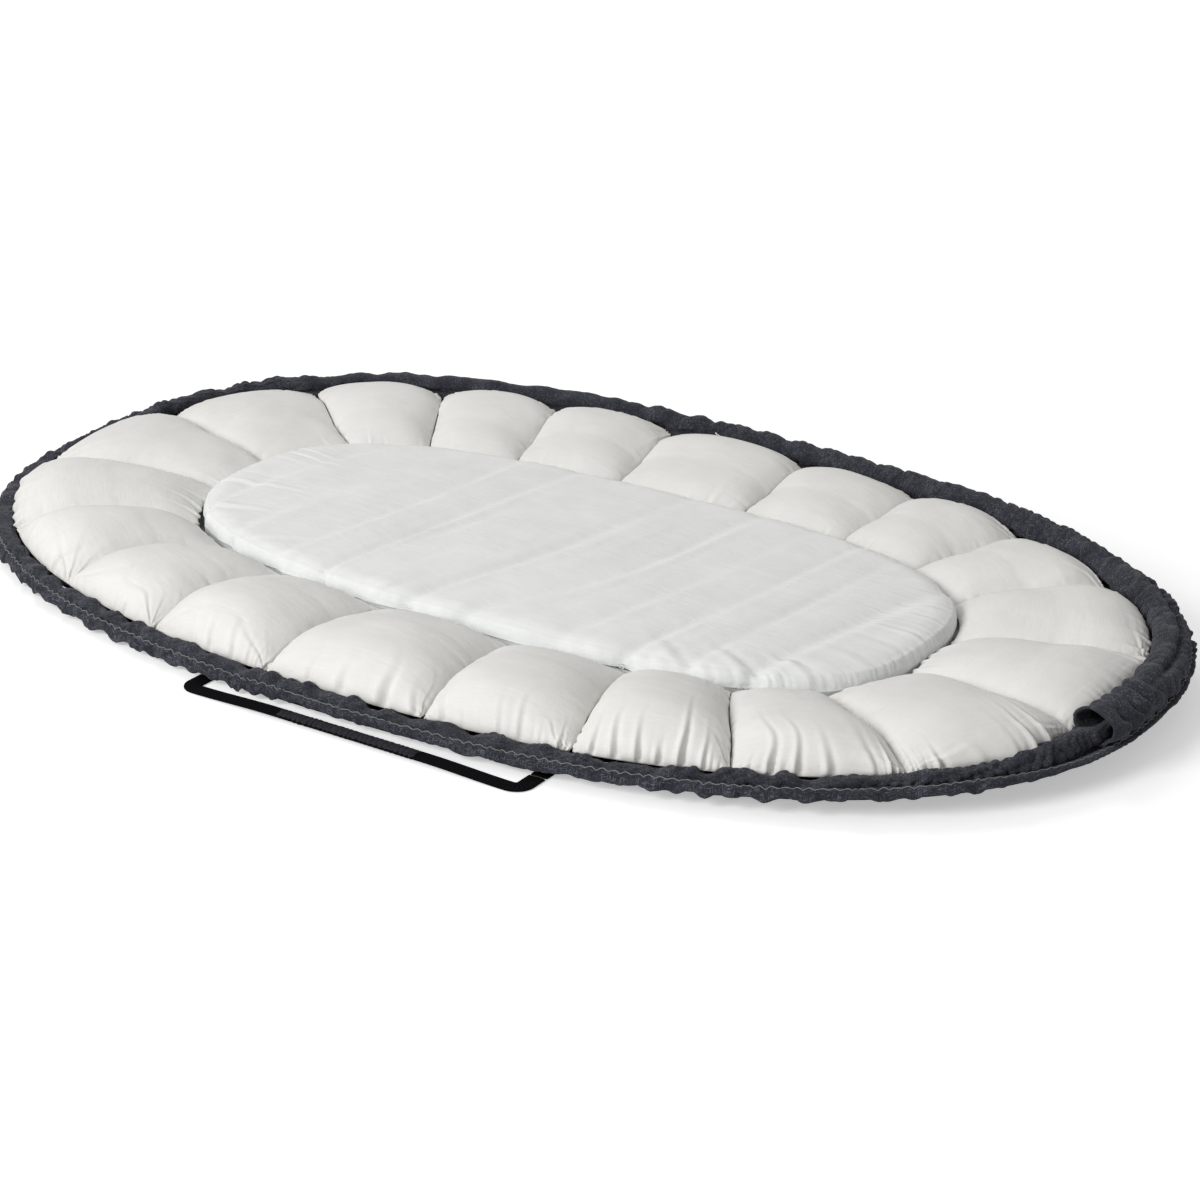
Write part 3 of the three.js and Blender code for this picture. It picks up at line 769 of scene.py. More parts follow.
class LOUNGER_OT_bolsters(bpy.types.Operator):
    """Make the ring of stuffed bolsters"""

    bl_idname = "lounger.bolsters"
    bl_label = "Bolsters"

    columns = 60
    rows = 46

    def execute(self, context):
        plan = MatPlan(context.scene.lounger_sizes)
        cotton = cloths(context)["ring_cotton"]
        pieces, sewn, slack = [], [], []
        for index, node in enumerate(bolster_nodes):
            mesh = two_sheets(
                node + "_cover", self.columns, self.rows,
                lambda u, v, side, index=index: bolster_surface(plan, index, u, v, side),
                POCKET_CLOTH,
            )
            pieces.append(add_piece(node + "_cover", mesh, None, cotton, [node]))
            sewn.append(self.sewn_points(mesh))
            from_edge = (1 - np.abs(2 * self.shares(mesh) - 1)) * np.array(POCKET_HALF)[:, None]
            slack.append(np.exp(-from_edge.min(axis=0) / 0.016))
        let_settle(pieces, sewn, slack, growth=0.07, pressure=6.0, steps=20, cap=0.005)
        for index, piece in enumerate(pieces):
            make_finer(piece)
            folds = bolster_gathers(index, plan.raised(index), *self.shares(piece.data))
            folds[self.sewn_points(piece.data)] = 0
            lift_along_normals(piece.data, folds)
            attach(piece, "mat")
        return {"FINISHED"}

    @staticmethod
    def sewn_points(mesh):
        """The points of the lower sheet and of its seam, which stay where they are."""
        held = set()
        for face in mesh.polygons[len(mesh.polygons) // 2:]:
            held.update(face.vertices)
        return sorted(held)

    @staticmethod
    def shares(mesh):
        """Each point's two shares of the cloth, read back from the UV map."""
        flat = np.empty(len(mesh.loops) * 2, np.float32)
        mesh.uv_layers["Cloth"].uv.foreach_get("vector", flat)
        found = np.zeros((len(mesh.vertices), 2))
        found[corner_points(mesh)] = flat.reshape(-1, 2) / POCKET_CLOTH
        return found.T


# Pad

PAD_STEPS = 110
PAD_SEAM = 0.0245
PAD_ALLOWANCE = 0.0010
PAD_ROLL = 0.023
PAD_DOME = 0.0022
PAD_TUCK = 0.0352


def pad_surface(plan, u, v, side):
    """The pad's upper sheet, rounded down to a flat seam allowance, or its lower sheet."""
    sizes = plan.sizes
    reach, across, out = oval_grid(u, v, sizes.nest_power)
    start, stop = 0.80, 1 - 2 / PAD_STEPS
    roll = np.clip((reach - start) / (stop - start), 0, 1) * np.pi / 2
    beyond = np.clip((reach - stop) / (1 - stop), 0, 1)
    flat = np.minimum(reach / start, 1)
    power = 2 / 2.7 if side > 0 else 2 / 3.5
    top, bottom = sizes.pad_top - PAD_DOME, sizes.pad_bottom + 0.0002
    z = mix(PAD_SEAM + side * 0.0006, top if side > 0 else bottom, np.maximum(np.cos(roll), 0) ** power)
    if side > 0:
        z = z + PAD_DOME * (1 - flat**3)
    inset = PAD_ROLL * (1 - np.sin(roll) ** power) + PAD_ALLOWANCE * (1 - beyond)
    x = (sizes.pad_length / 2 - inset) * across * flat
    y = (sizes.pad_width / 2 - inset) * out * flat
    return np.column_stack([x, y, mix(z, PAD_SEAM, beyond)])


def pad_creases(points):
    """Height of the soft creases that cross the pad, and of the gathers round its edge."""
    x, y, z = points.T
    slant = x - 0.16 * y + 0.014 * drift(x * 7, y * 5, 3.0)
    phase = slant / 0.055 + 0.3 * drift(x * 12, y * 2.2, 8.0)
    number = np.rint(phase)
    from_crease = phase - number
    strength = 0.62 + 0.38 * np.sin(number * 2.4 + 0.7)
    reach_back = 0.02 + 0.11 * np.sin(number * 1.7)
    towards_front = mix(0.25, 1.0, ease(reach_back + 0.07, reach_back - 0.10, y))
    valley = bump(from_crease, 0, 0.11) + 0.9 * bump(from_crease, 0, 0.30)
    ridge = bump(from_crease, 0.20, 0.10)
    edge_turn = np.arctan2(y * 1.95, x)
    from_edge = np.maximum(0, 1 - (np.abs(x / 0.332) ** 2.9 + np.abs(y / 0.170) ** 2.9) ** (1 / 2.9)) * 0.17
    wall = ease(0.0396, 0.034, z) * ease(0.0245, 0.027, z)
    notch = edge_turn * 6.3 + 1.1 * drift(edge_turn * 3, 0, 6.0)
    notches = gathers(notch, np.abs(from_edge - 0.012), 0.018, 7.0, crease(notch))
    puckers = fold(edge_turn * 19 + 1.3 * drift(edge_turn * 7, 0, 6.0)) - 0.5
    small = fold(edge_turn * 47 + 0.8 * drift(edge_turn * 21, 0, 9.0)) - 0.5
    return (
        towards_front * strength * (0.0022 * ridge - 0.0033 * valley)
        + 0.0010 * drift(slant * 62, y * 5, 5.0) * towards_front
        + 0.0018 * drift(x * 6, y * 6, 2.0)
        + 0.0008 * bump(z, PAD_TUCK, 0.0011)
        + 0.0010 * notches * ease(0.0245, 0.030, z) * mix(0.3, 1.0, ease(0.10, -0.06, y))
        + wall * (0.0013 * puckers * (0.6 + 0.5 * drift(edge_turn * 7, 2, 4.0)) + 0.0008 * small)
    )


class LOUNGER_OT_pad(bpy.types.Operator):
    """Make the loose pad in its cotton cover"""

    bl_idname = "lounger.pad"
    bl_label = "Pad"

    def execute(self, context):
        plan = MatPlan(context.scene.lounger_sizes)
        cotton = cloths(context)["pad_cotton"]
        size = (plan.sizes.pad_length, plan.sizes.pad_width)
        mesh = two_sheets("pad", PAD_STEPS, PAD_STEPS, lambda u, v, side: pad_surface(plan, u, v, side), size)
        piece = add_piece("pad_cushion", mesh, "pad", cotton, ["pad_cover", "pad_core"])
        make_finer(piece)
        points = points_of(piece.data)
        upper = ease(plan.sizes.pad_bottom + 0.002, plan.sizes.pad_bottom + 0.014, points[:, 2])
        lift_along_normals(piece.data, pad_creases(points) * upper)
        return {"FINISHED"}


# Shell and lining

def oval_sheet_point(plan, u, v, edge_inset):
    """Floor plan of a point of an oval cut from a square grid, with its turn and its inset."""
    sizes, outline = plan.sizes, plan.outline
    reach, across, out = oval_grid(u, v, sizes.mat_power)
    edge_angle = np.mod(np.arctan2(sizes.mat_width * out, sizes.mat_length * across), 2 * np.pi)
    outline_angle = np.mod(np.arctan2(outline.y, outline.x)[:-1], 2 * np.pi)
    turn = np.interp(edge_angle, outline_angle, outline.share[:-1])
    border = 0.72
    inset = mix(sizes.lift_band, edge_inset, np.clip((reach - border) / (1 - border), 0, 1))
    flat = plan.inset(turn, inset) * np.minimum(reach / border, 1)[:, None]
    return flat, turn, inset


def shell_surface(plan, u, v, side):
    """The shell's outer or inner face: flat on the floor, then rising in gathers to the rim."""
    sizes = plan.sizes
    flat, turn, inset = oval_sheet_point(plan, u, v, 0.0045)
    lift = plan.lift(turn, inset)
    along = turn * plan.outline.length
    gathered = fold(along / 0.021 + 0.7 * drift(along * 9, 0, 2.0)) - 0.5
    gathered = 0.0011 * gathered * ease(0.09, 0.02, inset) * ease(0.002, 0.012, lift)
    strap = np.abs(np.abs(flat[:, 0] - sizes.strap_offset) - sizes.strap_spacing / 2)
    groove = 0.0022 * ease(0.015, 0.008, strap)
    wrinkle = 0.0003 * drift(flat[:, 0] * 22, flat[:, 1] * 22, 4.0)
    bottom = np.maximum(np.maximum(lift + gathered, 0) + 0.0003 + wrinkle, groove)
    top = np.maximum(lift + sizes.shell_thickness - 0.0002, bottom + 0.0004)
    rounded = 1 - ease(0.0105, 0.0045, inset)
    z = mix(lift + sizes.shell_thickness * 0.6, top if side > 0 else bottom, rounded)
    return np.column_stack([flat, z])


def lining_surface(plan, u, v, side):
    flat, turn, inset = oval_sheet_point(plan, u, v, 0.052)
    rounded = 1 - ease(0.056, 0.0525, inset)
    wrinkle = 0.0001 * (1 + drift(flat[:, 0] * 30, flat[:, 1] * 30, 7.0))
    z = plan.lift(turn, inset) + plan.sizes.shell_thickness + CLOTH_GAP
    return np.column_stack([flat, z + (side > 0) * (0.0009 * rounded - wrinkle)])


class LOUNGER_OT_shell(bpy.types.Operator):
    """Make the shell and the lining that lies in it"""

    bl_idname = "lounger.shell"
    bl_label = "Shell and lining"

    def execute(self, context):
        plan = MatPlan(context.scene.lounger_sizes)
        finishes = cloths(context)
        size = (plan.sizes.mat_length, plan.sizes.mat_width)
        shell = two_sheets("shell", 200, 130, lambda u, v, side: shell_surface(plan, u, v, side), size)
        outer = add_piece("shell_cloth", shell, "mat", finishes["charcoal_melange"],
                          ["base_shell"])
        lining = two_sheets("lining", 120, 80, lambda u, v, side: lining_surface(plan, u, v, side), size)
        inner = add_piece("lining_sheet", lining, "mat", finishes["lining_cotton"],
                          ["base_lining"])
        return {"FINISHED"}


# Rim

ELASTIC_RADIUS = 0.0024
HEADER_RISE = 0.0054
THREAD_RADIUS = 0.00038
STITCHES = 640


def rim_wave(plan, turn):
    """The wave of the gathered rim, the same for the casing and its ruffle, from -1 to 1."""
    along = np.mod(turn, 1) * plan.outline.length
    wave = 0.75 * np.sin(2 * np.pi * (along / 0.0265 + 1.5 * drift(along * 9, 0, 8.0)))
    wave = wave + 0.45 * np.sin(2 * np.pi * (along / 0.043 + 1.1 * drift(along * 6, 0, 3.0)))
    where_low = mix(1.1, 0.5, ease(0.010, 0.030, plan.edge_lift(turn)))
    return wave * (0.65 + 0.55 * drift(along * 15, 1, 9.0)) * where_low


def casing_skin(plan, travel, cos, sin):
    """Outward offset of the gathered casing's skin from its even tube."""
    sizes = plan.sizes
    along = travel * plan.outline.length
    _, _, radius = plan.lane(travel)
    wide = np.clip((radius - sizes.casing_radius) / (sizes.mouth_radius - sizes.casing_radius), 0, 1)
    wander = 0.7 * drift(along * 30, cos * 1.7 + 3, 1.0) + 0.7 * drift(along * 30, sin * 1.7 + 9, 2.0)
    sway = 0.9 * drift(along * 13, cos * 1.2 + 5, 3.0) + 0.9 * drift(along * 13, sin * 1.2 + 8, 7.0)
    fine = (fold(along / 0.0105 + wander, 0.65) - 0.6) * (0.55 + 0.45 * drift(along * 11, cos + 9, 4.0))
    coarse = (lean(along / 0.029 + sway) - 0.45) * mix(0.5 + 0.5 * drift(along * 7, 0.5, 5.0), 1.0, wide)
    lumps = drift(along * 33, cos * 1.4 + 2 * sin, 6.0)
    taut = 1 - 0.75 * ease(0.30, 0.34, travel) * ease(0.46, 0.42, travel) + 0.4 * ease(0.72, 0.80, travel)
    gathered = mix(0.0031, 0.0018, wide**0.6) * fine + mix(0.0034, 0.0084, wide**0.6) * coarse
    return gathered * taut + 0.0012 * lumps


class LOUNGER_OT_rim_casing(bpy.types.Operator):
    """Make the gathered casing with its open mouth and the elastic inside it"""

    bl_idname = "lounger.rim_casing"
    bl_label = "Rim casing"

    sides = 40

    def execute(self, context):
        plan = MatPlan(context.scene.lounger_sizes)
        finishes = cloths(context)
        stations = self.stations(plan)
        count = len(stations)

        def place(along, round_share):
            return self.point(plan, *stations[np.rint(along * count).astype(int) % count].T, round_share)

        mesh = grid_mesh("casing", count, self.sides, place, (plan.outline.length * 2, 0.06), closed=True)
        add_piece("casing_cloth", mesh, "mat", finishes["charcoal_melange"], ["rim_casing"])
        self.add_elastic(plan, finishes["cotton_thread"])
        return {"FINISHED"}

    @staticmethod
    def stations(plan):
        """Travel and share of the wall of each ring of points, out along the skin and back up the bore."""
        end = 1 + plan.insert
        skin = np.linspace(0, end, 1900)
        bore = np.linspace(end, 0, 330)
        roll = np.array([0.15, 0.5, 0.85])
        rounding = 0.0009 / plan.outline.length * np.sin(roll * np.pi)
        return np.concatenate([
            np.column_stack([skin, np.zeros_like(skin)]),
            np.column_stack([end + rounding, roll]),
            np.column_stack([bore, np.ones_like(bore)]),
            np.column_stack([-rounding, 1 - roll]),
        ])

    @staticmethod
    def point(plan, travel, wall, round_share):
        """A point of the casing, on its skin where wall is 0 and in its bore where wall is 1."""
        cos, sin = around(round_share)
        turn, whole = MOUTH_TURN + travel, plan.outline.length
        along = travel * whole
        inset, rise, radius = plan.lane(np.maximum(travel, 0))
        free = ease(0.10, 0.25, along) * ease(whole - 0.10, whole - 0.25, along)
        narrow = np.clip((0.0105 - radius) / 0.0035, 0, 1) * free
        by_tail = np.where(travel > 0.5, plan.by_tail(turn), 0)
        sunk = ease(0.10, 0.0, along)

        hem = ease(0.0150, 0.0135, np.abs(along))
        stitch = bump(along, 0.0135, 0.0011)
        skin = casing_skin(plan, np.maximum(travel, 0), cos, sin)
        skin = skin * mix(1.0, 0.45, hem) * mix(1.0, 0.55, ease(0.985, 1.0, travel))
        skin = skin + 0.0009 * hem - 0.0008 * stitch
        full = radius + skin * mix(1.0, 0.8, wall) - wall * mix(0.0016, 0.0024, hem) + 0.0024 * by_tail
        two_strands = ease(0.05, 0.12, along) * np.clip((radius - 0.0075) / 0.003, 0, 1)
        full = full - 0.0065 * two_strands * bump(round_share * 2 * np.pi, 2.1, 0.24) * mix(1.0, 0.8, wall)

        rise = rise + free * (0.0016 * drift(along * 34, 1.0, 11.0) + 0.0017 * rim_wave(plan, turn))
        inset = inset + 0.0010 * free * drift(along * 28, 2.0, 12.0) + TAIL_SLUMP * by_tail
        inset = inset - MOUTH_SLUMP * plan.slump(turn) - LOW_SLUMP * narrow * plan.low_rim(turn)
        sideways = full * mix(cos, boxy(cos, 0.7), narrow) * (1 + 0.10 * sunk)
        flattened = np.where(sin > 0, 1 - 0.40 * sunk, 1 - 0.12 * sunk)
        upwards = full * mix(sin, boxy(sin, 0.8), narrow) * flattened
        scallop = 0.10 * drift(along * 40, 0.4, 13.0)
        scallop = scallop + 0.10 * np.sin(along * 150 + 3 * drift(along * 9, 0, 14.0))
        upwards = upwards - narrow * (full + upwards) * (0.16 - 0.9 * scallop)
        creased = 0.0018 * np.maximum(sin, 0) * np.cos(round_share * 4 * np.pi + 0.8)
        return plan.over_ledge(turn, inset + sideways, rise + upwards - sunk * creased)

    @staticmethod
    def add_elastic(plan, thread):
        count = 420
        lies_in = CASING_WALL + 0.0025 + 2 * CLOTH_GAP

        def place(travel, round_share):
            cos, sin = around(round_share)
            travel = np.mod(travel, 1.0)
            turn = MOUTH_TURN + travel
            inset, rise, radius = plan.lane(travel)
            free = ease(plan.insert, 3 * plan.insert + 0.02, travel)
            tail_inset = plan.mouth_inset + plan.sizes.tail_radius - lies_in
            middle = mix(tail_inset, inset + radius - lies_in, free) - MOUTH_SLUMP * plan.slump(turn)
            height = mix(plan.tail_rise, rise - 0.0022, free)
            full = ELASTIC_RADIUS + 0.00012 * np.sin(travel * count * 3)
            return plan.over_ledge(turn, middle + full * cos, height + full * sin)

        mesh = grid_mesh("elastic", count, 10, place, (plan.outline.length, 0.015), closed=True)
        add_piece("elastic_cord", mesh, "mat", thread, ["gathering_elastic"])


def header_point(plan, turn, round_share):
    """A point on the narrow ruffle outside the casing."""
    sizes = plan.sizes
    cos, sin = around(round_share)
    ring_x, ring_y = around(turn)
    edge = plan.outline.at(turn)
    from_middle = np.abs(edge[:, 0] - sizes.strap_offset)
    handle = ease(0.20, 0.17, from_middle) * ease(0.25, 0.30, np.abs(edge[:, 1]))
    grip = handle * ease(0.085, 0.068, from_middle)
    outer, half_width = np.maximum(cos, 0), sizes.header_width / 2
    pressed = plan.slump(turn)
    loose = 1 - 0.8 * pressed
    taut = 1 - 0.7 * ease(0.28, 0.31, turn) * ease(0.43, 0.40, turn)

    ruffle = np.sin(2 * np.pi * (turn * 88 + 1.6 * drift(ring_x * 13, ring_y * 13, 2.0)))
    ruffle = ruffle * (0.6 + 0.55 * drift(ring_x * 17, ring_y * 17, 6.0)) * taut * loose
    wander = 0.9 * drift(ring_x * 40, ring_y * 40, 1.0)
    pleat = fold(turn * 262 + wander + 0.25 * sin, 0.6) - 0.6
    far_end = ease(-0.55, -0.85, ring_x)
    pleat = pleat * (0.7 + 0.5 * drift(ring_x * 25, ring_y * 25, 3.0)) * mix(1.0, 2.0, far_end) * taut

    sideways = half_width - (half_width + 0.0013 * pleat) * cos + 0.0006 * grip * outer
    sideways = sideways - (mix(0.0028, 0.0014, handle) - 0.0008 * grip) * ruffle * outer
    half_height = mix(0.0037 + 0.0004 * drift(ring_x * 30, ring_y * 30, 4.0), 0.0017, pressed)
    upwards = mix(HEADER_RISE - 0.0016, 0.0020, pressed)
    upwards = upwards + (half_height + 0.0014 * pleat * loose) * boxy(sin, 0.85)
    swing = 0.0024 * ruffle + 0.0026 * rim_wave(plan, turn) * taut * loose
    swing = np.where(swing < 0, swing * (1 - 0.6 * grip), swing)
    droop = 0.0032 * (1 - 0.8 * grip) * ease(0.020, 0.006, plan.edge_lift(turn))
    return plan.over_ledge(turn, sideways, upwards + swing * np.maximum(cos, -0.2) - droop * outer)


class LOUNGER_OT_rim_header(bpy.types.Operator):
    """Make the narrow ruffle along the outside of the casing, and its line of stitches"""

    bl_idname = "lounger.rim_header"
    bl_label = "Rim header"

    def execute(self, context):
        plan = MatPlan(context.scene.lounger_sizes)
        finishes = cloths(context)
        length = plan.outline.length
        mesh = grid_mesh("header", 1900, 18, lambda turn, share: header_point(plan, turn, share),
                         (length, 0.024), closed=True)
        add_piece("header_ruffle", mesh, "mat", finishes["charcoal_melange"],
                  ["rim_header"])

        def place(turn, round_share):
            cos, sin = around(round_share)
            swing = np.abs(np.mod(turn * STITCHES, 2) - 1)
            seat = header_point(plan, turn, mix(0.205, 0.265, swing))
            seat[:, 2] += CLOTH_GAP + THREAD_RADIUS * sin
            seat[:, :2] += (plan.inset(turn, 1.0) - plan.inset(turn, 0.0)) * (THREAD_RADIUS * cos)[:, None]
            return seat

        thread = grid_mesh("stitches", STITCHES * 4, 5, place, (length, 0.002), closed=True)
        add_piece("rim_stitching", thread, "mat", finishes["rim_thread"])
        return {"FINISHED"}


# Webbing

WEBBING_MIDDLE = 0.0011
GRIP_MIDDLE = 0.0029
HANDLE_CORNER = 0.0085


def read_along(places, knots, rows):
    """Rows of points read at places between their knots."""
    return np.column_stack([np.interp(places, knots, column) for column in rows.T])


def hinge_line(sizes):
    return sizes.mat_width / 2 + sizes.hinge_outset


def ribbon_mesh(name, sizes, path, headings, rows, cloth_length):
    """Webbing along a path: a flat closed strip with rounded selvedges and closed ends."""
    knots = np.linspace(0, 1, len(path))
    half_width, half_thickness = sizes.webbing_width / 2, sizes.webbing_thickness * 0.96 / 2

    def place(along, round_share):
        cos, sin = around(round_share)
        heading = read_along(along, knots, headings)
        heading /= np.linalg.norm(heading, axis=1, keepdims=True)
        beside = np.cross(heading, (0, 0, 1))
        beside /= np.linalg.norm(beside, axis=1, keepdims=True)
        above = np.cross(beside, heading)
        ends = (along < 1e-6) | (along > 1 - 1e-6)
        sideways = boxy(cos, 0.28) * half_width * np.where(ends, 0.96, 1.0)
        upwards = boxy(sin, 0.55) * half_thickness * np.where(ends, 0.0, 1.0)
        return read_along(along, knots, path) + beside * sideways[:, None] + above * upwards[:, None]

    return grid_mesh(name, rows, 28, place, (cloth_length, 2 * sizes.webbing_width), closed=True)


class LOUNGER_OT_straps(bpy.types.Operator):
    """Make the webbing straps under the shell"""

    bl_idname = "lounger.straps"
    bl_label = "Cross straps"

    def execute(self, context):
        sizes = context.scene.lounger_sizes
        finishes = cloths(context)
        reach = hinge_line(sizes) - 0.0165
        steps = np.linspace(-reach, reach, 80)
        for side, word in ((-1, "left"), (1, "right")):
            x = sizes.strap_offset + side * sizes.strap_spacing / 2
            level = np.full_like(steps, sizes.webbing_thickness / 2)
            path = np.column_stack([np.full_like(steps, x), steps, level])
            headings = np.tile((0.0, 1.0, 0.0), (len(steps), 1))
            mesh = ribbon_mesh("strap", sizes, path, headings, 300, 2 * reach)
            add_piece("strap_" + word, mesh, "mat", finishes["ribbed_webbing"],
                      ["cross_strap_" + word])
        return {"FINISHED"}


class LOUNGER_OT_handles(bpy.types.Operator):
    """Make the two webbing handles with their gathered grips"""

    bl_idname = "lounger.handles"
    bl_label = "Handles"

    def execute(self, context):
        sizes = context.scene.lounger_sizes
        finishes = cloths(context)
        for facing, word in ((-1, "front"), (1, "back")):
            self.add_webbing(sizes, finishes["ribbed_webbing"], facing, word)
            self.add_grip(sizes, finishes["ruched_webbing"], facing, word)
        return {"FINISHED"}

    @staticmethod
    def bow(sizes, facing):
        """The webbing's middle line from one strap round to the other, and the way that it faces."""
        half_spacing, reach, bend = sizes.strap_spacing / 2, sizes.handle_reach, HANDLE_CORNER
        rise_end = sizes.grip_length / 2 + 0.007
        half = [(half_spacing, out, WEBBING_MIDDLE, 0.0) for out in np.linspace(-0.0155, reach - bend, 14)]
        for angle in np.linspace(0, np.pi / 2, 12)[1:]:
            across = half_spacing - bend * (1 - math.cos(angle))
            half.append((across, reach - bend + bend * math.sin(angle), WEBBING_MIDDLE, angle))
        for share in np.linspace(0, 1, 12)[1:]:
            height = mix(WEBBING_MIDDLE, GRIP_MIDDLE, ease(0, 1, share))
            half.append((mix(half_spacing - bend, rise_end, share), reach, height, np.pi / 2))
        half += [(across, reach, GRIP_MIDDLE, np.pi / 2) for across in np.linspace(rise_end, 0, 16)[1:]]
        path, headings = [], []
        for side, rows in ((-1, half), (1, half[::-1][1:])):
            for across, out, height, angle in rows:
                path.append((sizes.strap_offset + side * across, facing * (hinge_line(sizes) + out), height))
                headings.append((math.sin(angle), -side * facing * math.cos(angle), 0.0))
        return np.array(path), np.array(headings)

    def add_webbing(self, sizes, material, facing, word):
        path, headings = self.bow(sizes, facing)
        knots = np.concatenate([[0], np.cumsum(np.linalg.norm(np.diff(path, axis=0), axis=1))])
        steps = np.linspace(0, knots[-1], 240)
        path, headings = read_along(steps, knots, path), read_along(steps, knots, headings)
        mesh = ribbon_mesh(word + "_webbing", sizes, path, headings, 360, knots[-1])
        piece = add_piece(word + "_handle_strap", mesh, None, material,
                          [word + "_handle_webbing"])
        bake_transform(piece)

    @staticmethod
    def add_grip(sizes, material, facing, word):
        y_middle = facing * (hinge_line(sizes) + sizes.handle_reach)
        low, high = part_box(word + "_handle_grip")
        half_width, half_height = (high.y - low.y) / 2, (high.z - low.z) / 2
        bore_width, bore_height, skin_share = 0.0053, 0.00125, 0.8

        def place(along, round_share):
            cos, sin = around(round_share)
            bore = along > skin_share
            travel = np.where(bore, (1 - along) / (1 - skin_share), along / skin_share)
            ribs = fold(travel * 27 + 0.35 * drift(travel * 18, cos * 1.5, 2.0) + 0.12 * sin, 0.6) - 0.7
            lumps = 0.05 * drift(travel * 12, cos + sin, 5.0)
            end = ease(0.0, 0.02, travel) * ease(1.0, 0.98, travel)
            swell = (0.88 + 0.30 * ribs + lumps) * mix(0.86, 1.0, end)
            x = sizes.strap_offset + (travel - 0.5) * sizes.grip_length
            sideways = np.where(bore, np.clip(1.6 * cos, -1, 1) * bore_width, half_width * cos * swell)
            upwards = np.where(bore, np.clip(1.6 * sin, -1, 1) * bore_height, half_height * sin * swell)
            return np.column_stack([x, y_middle + sideways, GRIP_MIDDLE + upwards])

        mesh = grid_mesh(word + "_grip", 500, 24, place, (0.3, 0.05), closed=True)
        add_piece(word + "_grip_sleeve", mesh, word + "_handle", material,
                  [word + "_handle_grip"])


# Stage

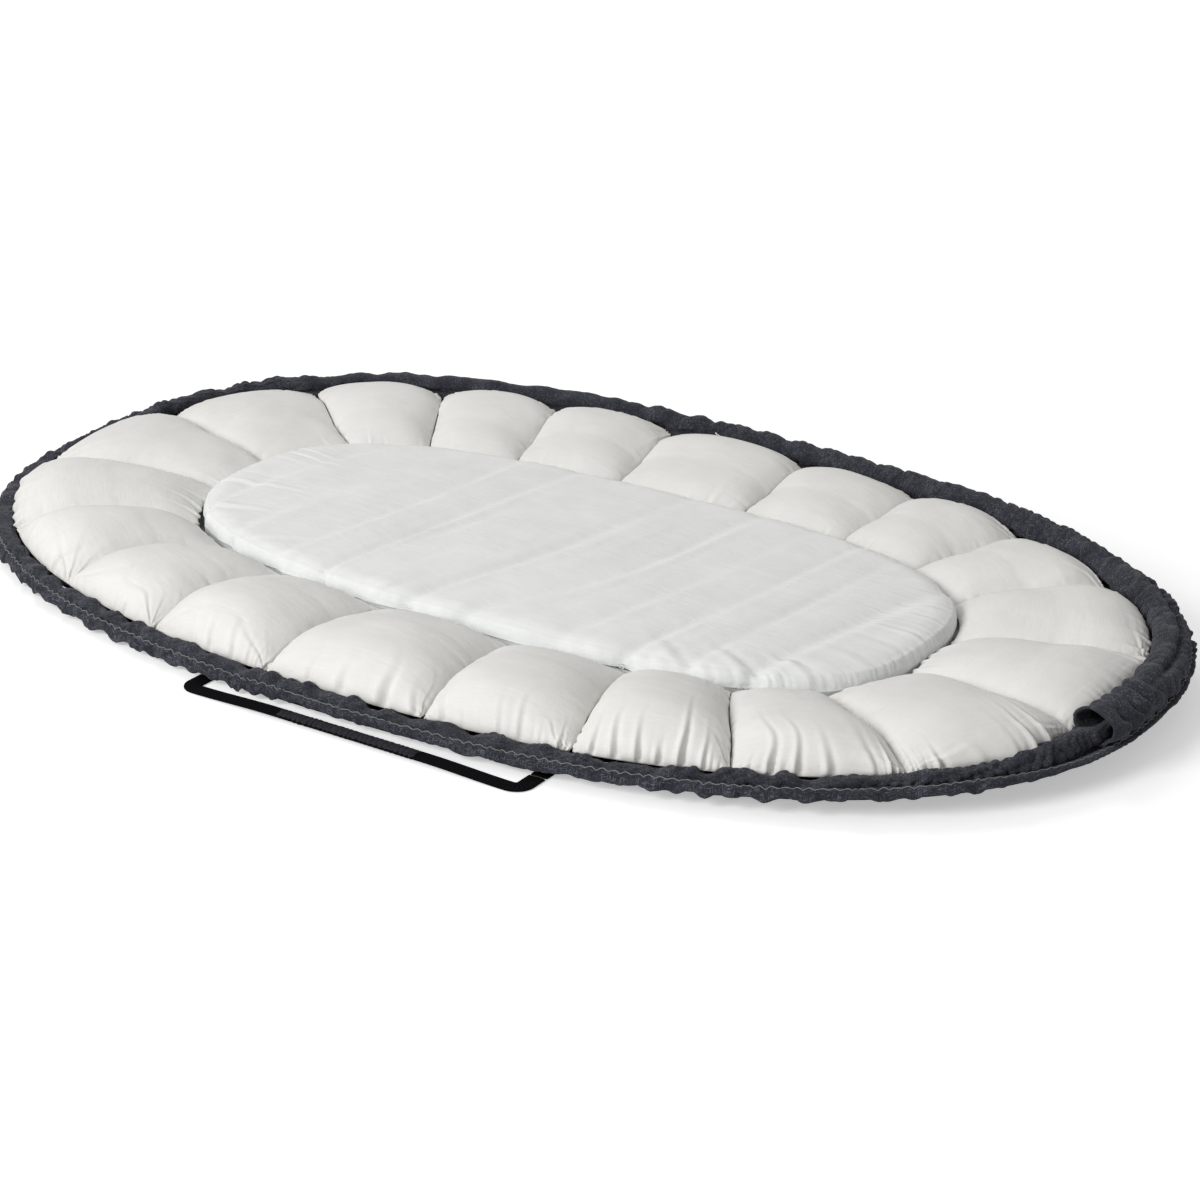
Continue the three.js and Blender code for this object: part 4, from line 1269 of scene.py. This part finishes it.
class LOUNGER_OT_stage(bpy.types.Operator):
    """Make the floor, the lamps and the camera"""

    bl_idname = "lounger.stage"
    bl_label = "Stage"

    floor_half = 9
    # The floor's glow for the camera, from the object's edge out to where it is white
    glow = {"From Min": 0.8, "From Max": 1.8, "To Min": 0.42, "To Max": 0.9}
    key_place, key_size = (-1.6, 1.6, 2.8), 1.6
    fill_place, fill_size = (-0.9, -3.35, 2.05), 2.0

    def execute(self, context):
        scene = context.scene
        settings = scene.lounger_stage
        self.add_floor(scene)
        self.add_world(scene, settings.sky)
        self.add_lamp(scene, "key_lamp", self.key_place, self.key_size, settings.key_power)
        self.add_lamp(scene, "fill_lamp", self.fill_place, self.fill_size, settings.fill_power)
        self.add_camera(scene, settings)
        scene.view_settings.view_transform = "Standard"
        return {"FINISHED"}

    def add_floor(self, scene):
        ground = bmesh.new()
        bmesh.ops.create_grid(ground, x_segments=2, y_segments=2, size=self.floor_half)
        mesh = bpy.data.meshes.new("floor")
        ground.to_mesh(mesh)
        ground.free()
        floor = bpy.data.objects.new("floor", mesh)
        scene.collection.objects.link(floor)
        material = bpy.data.materials.new("pale_floor")
        nodes = Nodes(material)
        shader = nodes.tree.nodes["Principled BSDF"]
        shader.inputs["Base Color"].default_value = (0.84, 0.84, 0.84, 1)
        shader.inputs["Roughness"].default_value = 0.9
        shader.inputs["Specular IOR Level"].default_value = 0.1
        away = nodes.node("ShaderNodeVectorMath", {0: nodes.object_space()}, operation="LENGTH")
        reach = {"Value": away.outputs["Value"], **self.glow}
        strength = nodes.node("ShaderNodeMapRange", reach).outputs["Result"]
        glow = nodes.node("ShaderNodeEmission", {"Strength": strength}).outputs["Emission"]
        lit = shader.outputs["BSDF"]
        total = nodes.node("ShaderNodeAddShader", {0: lit, 1: glow}).outputs["Shader"]
        seen = nodes.seen_by("Is Camera Ray", "Is Glossy Ray")
        choice = nodes.node("ShaderNodeMixShader", {"Fac": seen, 1: lit, 2: total}).outputs["Shader"]
        nodes.tree.links.new(choice, nodes.tree.nodes["Material Output"].inputs["Surface"])
        mesh.materials.append(material)

    @staticmethod
    def add_world(scene, strength):
        scene.world = bpy.data.worlds.new("studio")
        nodes = Nodes(scene.world)
        soft = nodes.tree.nodes["Background"]
        soft.inputs["Color"].default_value = (1, 1, 1, 1)
        soft.inputs["Strength"].default_value = strength
        white = nodes.node("ShaderNodeBackground", {"Color": (1, 1, 1, 1), "Strength": 1.0})
        seen = nodes.seen_by("Is Camera Ray", "Is Glossy Ray", "Is Transmission Ray")
        lights = {1: soft.outputs["Background"], 2: white.outputs["Background"]}
        choice = nodes.node("ShaderNodeMixShader", {"Fac": seen, **lights}).outputs["Shader"]
        nodes.tree.links.new(choice, nodes.tree.nodes["World Output"].inputs["Surface"])

    @staticmethod
    def add_lamp(scene, name, place, size, power):
        data = bpy.data.lights.new(name, "AREA")
        data.shape = "DISK"
        data.size = size
        data.energy = power
        lamp = bpy.data.objects.new(name, data)
        lamp.location = place
        lamp.rotation_euler = (-Vector(place)).to_track_quat("-Z", "Y").to_euler()
        scene.collection.objects.link(lamp)

    @staticmethod
    def add_camera(scene, settings):
        azimuth, elevation, roll = settings.camera_azimuth, settings.camera_elevation, settings.camera_roll
        back = Vector((math.sin(azimuth) * math.cos(elevation), -math.cos(azimuth) * math.cos(elevation),
                       math.sin(elevation)))
        level = Vector((math.cos(azimuth), math.sin(azimuth), 0))
        upright = back.cross(level)
        right = level * math.cos(roll) + upright * math.sin(roll)
        up = upright * math.cos(roll) - level * math.sin(roll)
        data = bpy.data.cameras.new("camera")
        data.lens = settings.lens
        data.sensor_width = 36
        data.clip_end = 50
        camera = bpy.data.objects.new("camera", data)
        turn = Matrix((right, up, back)).transposed().to_4x4()
        camera.matrix_world = Matrix.Translation(settings.camera_place) @ turn
        scene.collection.objects.link(camera)
        scene.camera = camera


class LOUNGER_PT_tools(bpy.types.Panel):
    """Lists the lounger's pieces in the sidebar"""

    bl_idname = "LOUNGER_PT_tools"
    bl_label = "Infant Lounger"
    bl_space_type = "VIEW_3D"
    bl_region_type = "UI"
    bl_category = "Lounger"

    def draw(self, context):
        for operator in PIECE_OPERATORS:
            self.layout.operator(operator.bl_idname)
        scene = context.scene
        for group in (scene.lounger_sizes, scene.lounger_colours, scene.lounger_stage):
            box = self.layout.box()
            for name in group.bl_rna.properties.keys():
                if name not in ("rna_type", "name"):
                    box.prop(group, name)


PIECE_OPERATORS = (
    LOUNGER_OT_bolsters,
    LOUNGER_OT_pad,
    LOUNGER_OT_shell,
    LOUNGER_OT_rim_casing,
    LOUNGER_OT_rim_header,
    LOUNGER_OT_straps,
    LOUNGER_OT_handles,
    LOUNGER_OT_stage,
)
CLASSES = (LoungerSizes, LoungerColours, LoungerStage, *PIECE_OPERATORS, LOUNGER_PT_tools)


def register():
    for kind in CLASSES:
        bpy.utils.register_class(kind)
    bpy.types.Scene.lounger_sizes = bpy.props.PointerProperty(type=LoungerSizes)
    bpy.types.Scene.lounger_colours = bpy.props.PointerProperty(type=LoungerColours)
    bpy.types.Scene.lounger_stage = bpy.props.PointerProperty(type=LoungerStage)


def unregister():
    del bpy.types.Scene.lounger_stage
    del bpy.types.Scene.lounger_colours
    del bpy.types.Scene.lounger_sizes
    for kind in reversed(CLASSES):
        bpy.utils.unregister_class(kind)


def main():
    register()
    bpy.ops.lounger.stage()
    bpy.ops.lounger.bolsters()
    bpy.ops.lounger.pad()
    bpy.ops.lounger.shell()
    bpy.ops.lounger.rim_casing()
    bpy.ops.lounger.rim_header()
    bpy.ops.lounger.straps()
    bpy.ops.lounger.handles()


if __name__ == "__main__":
    main()
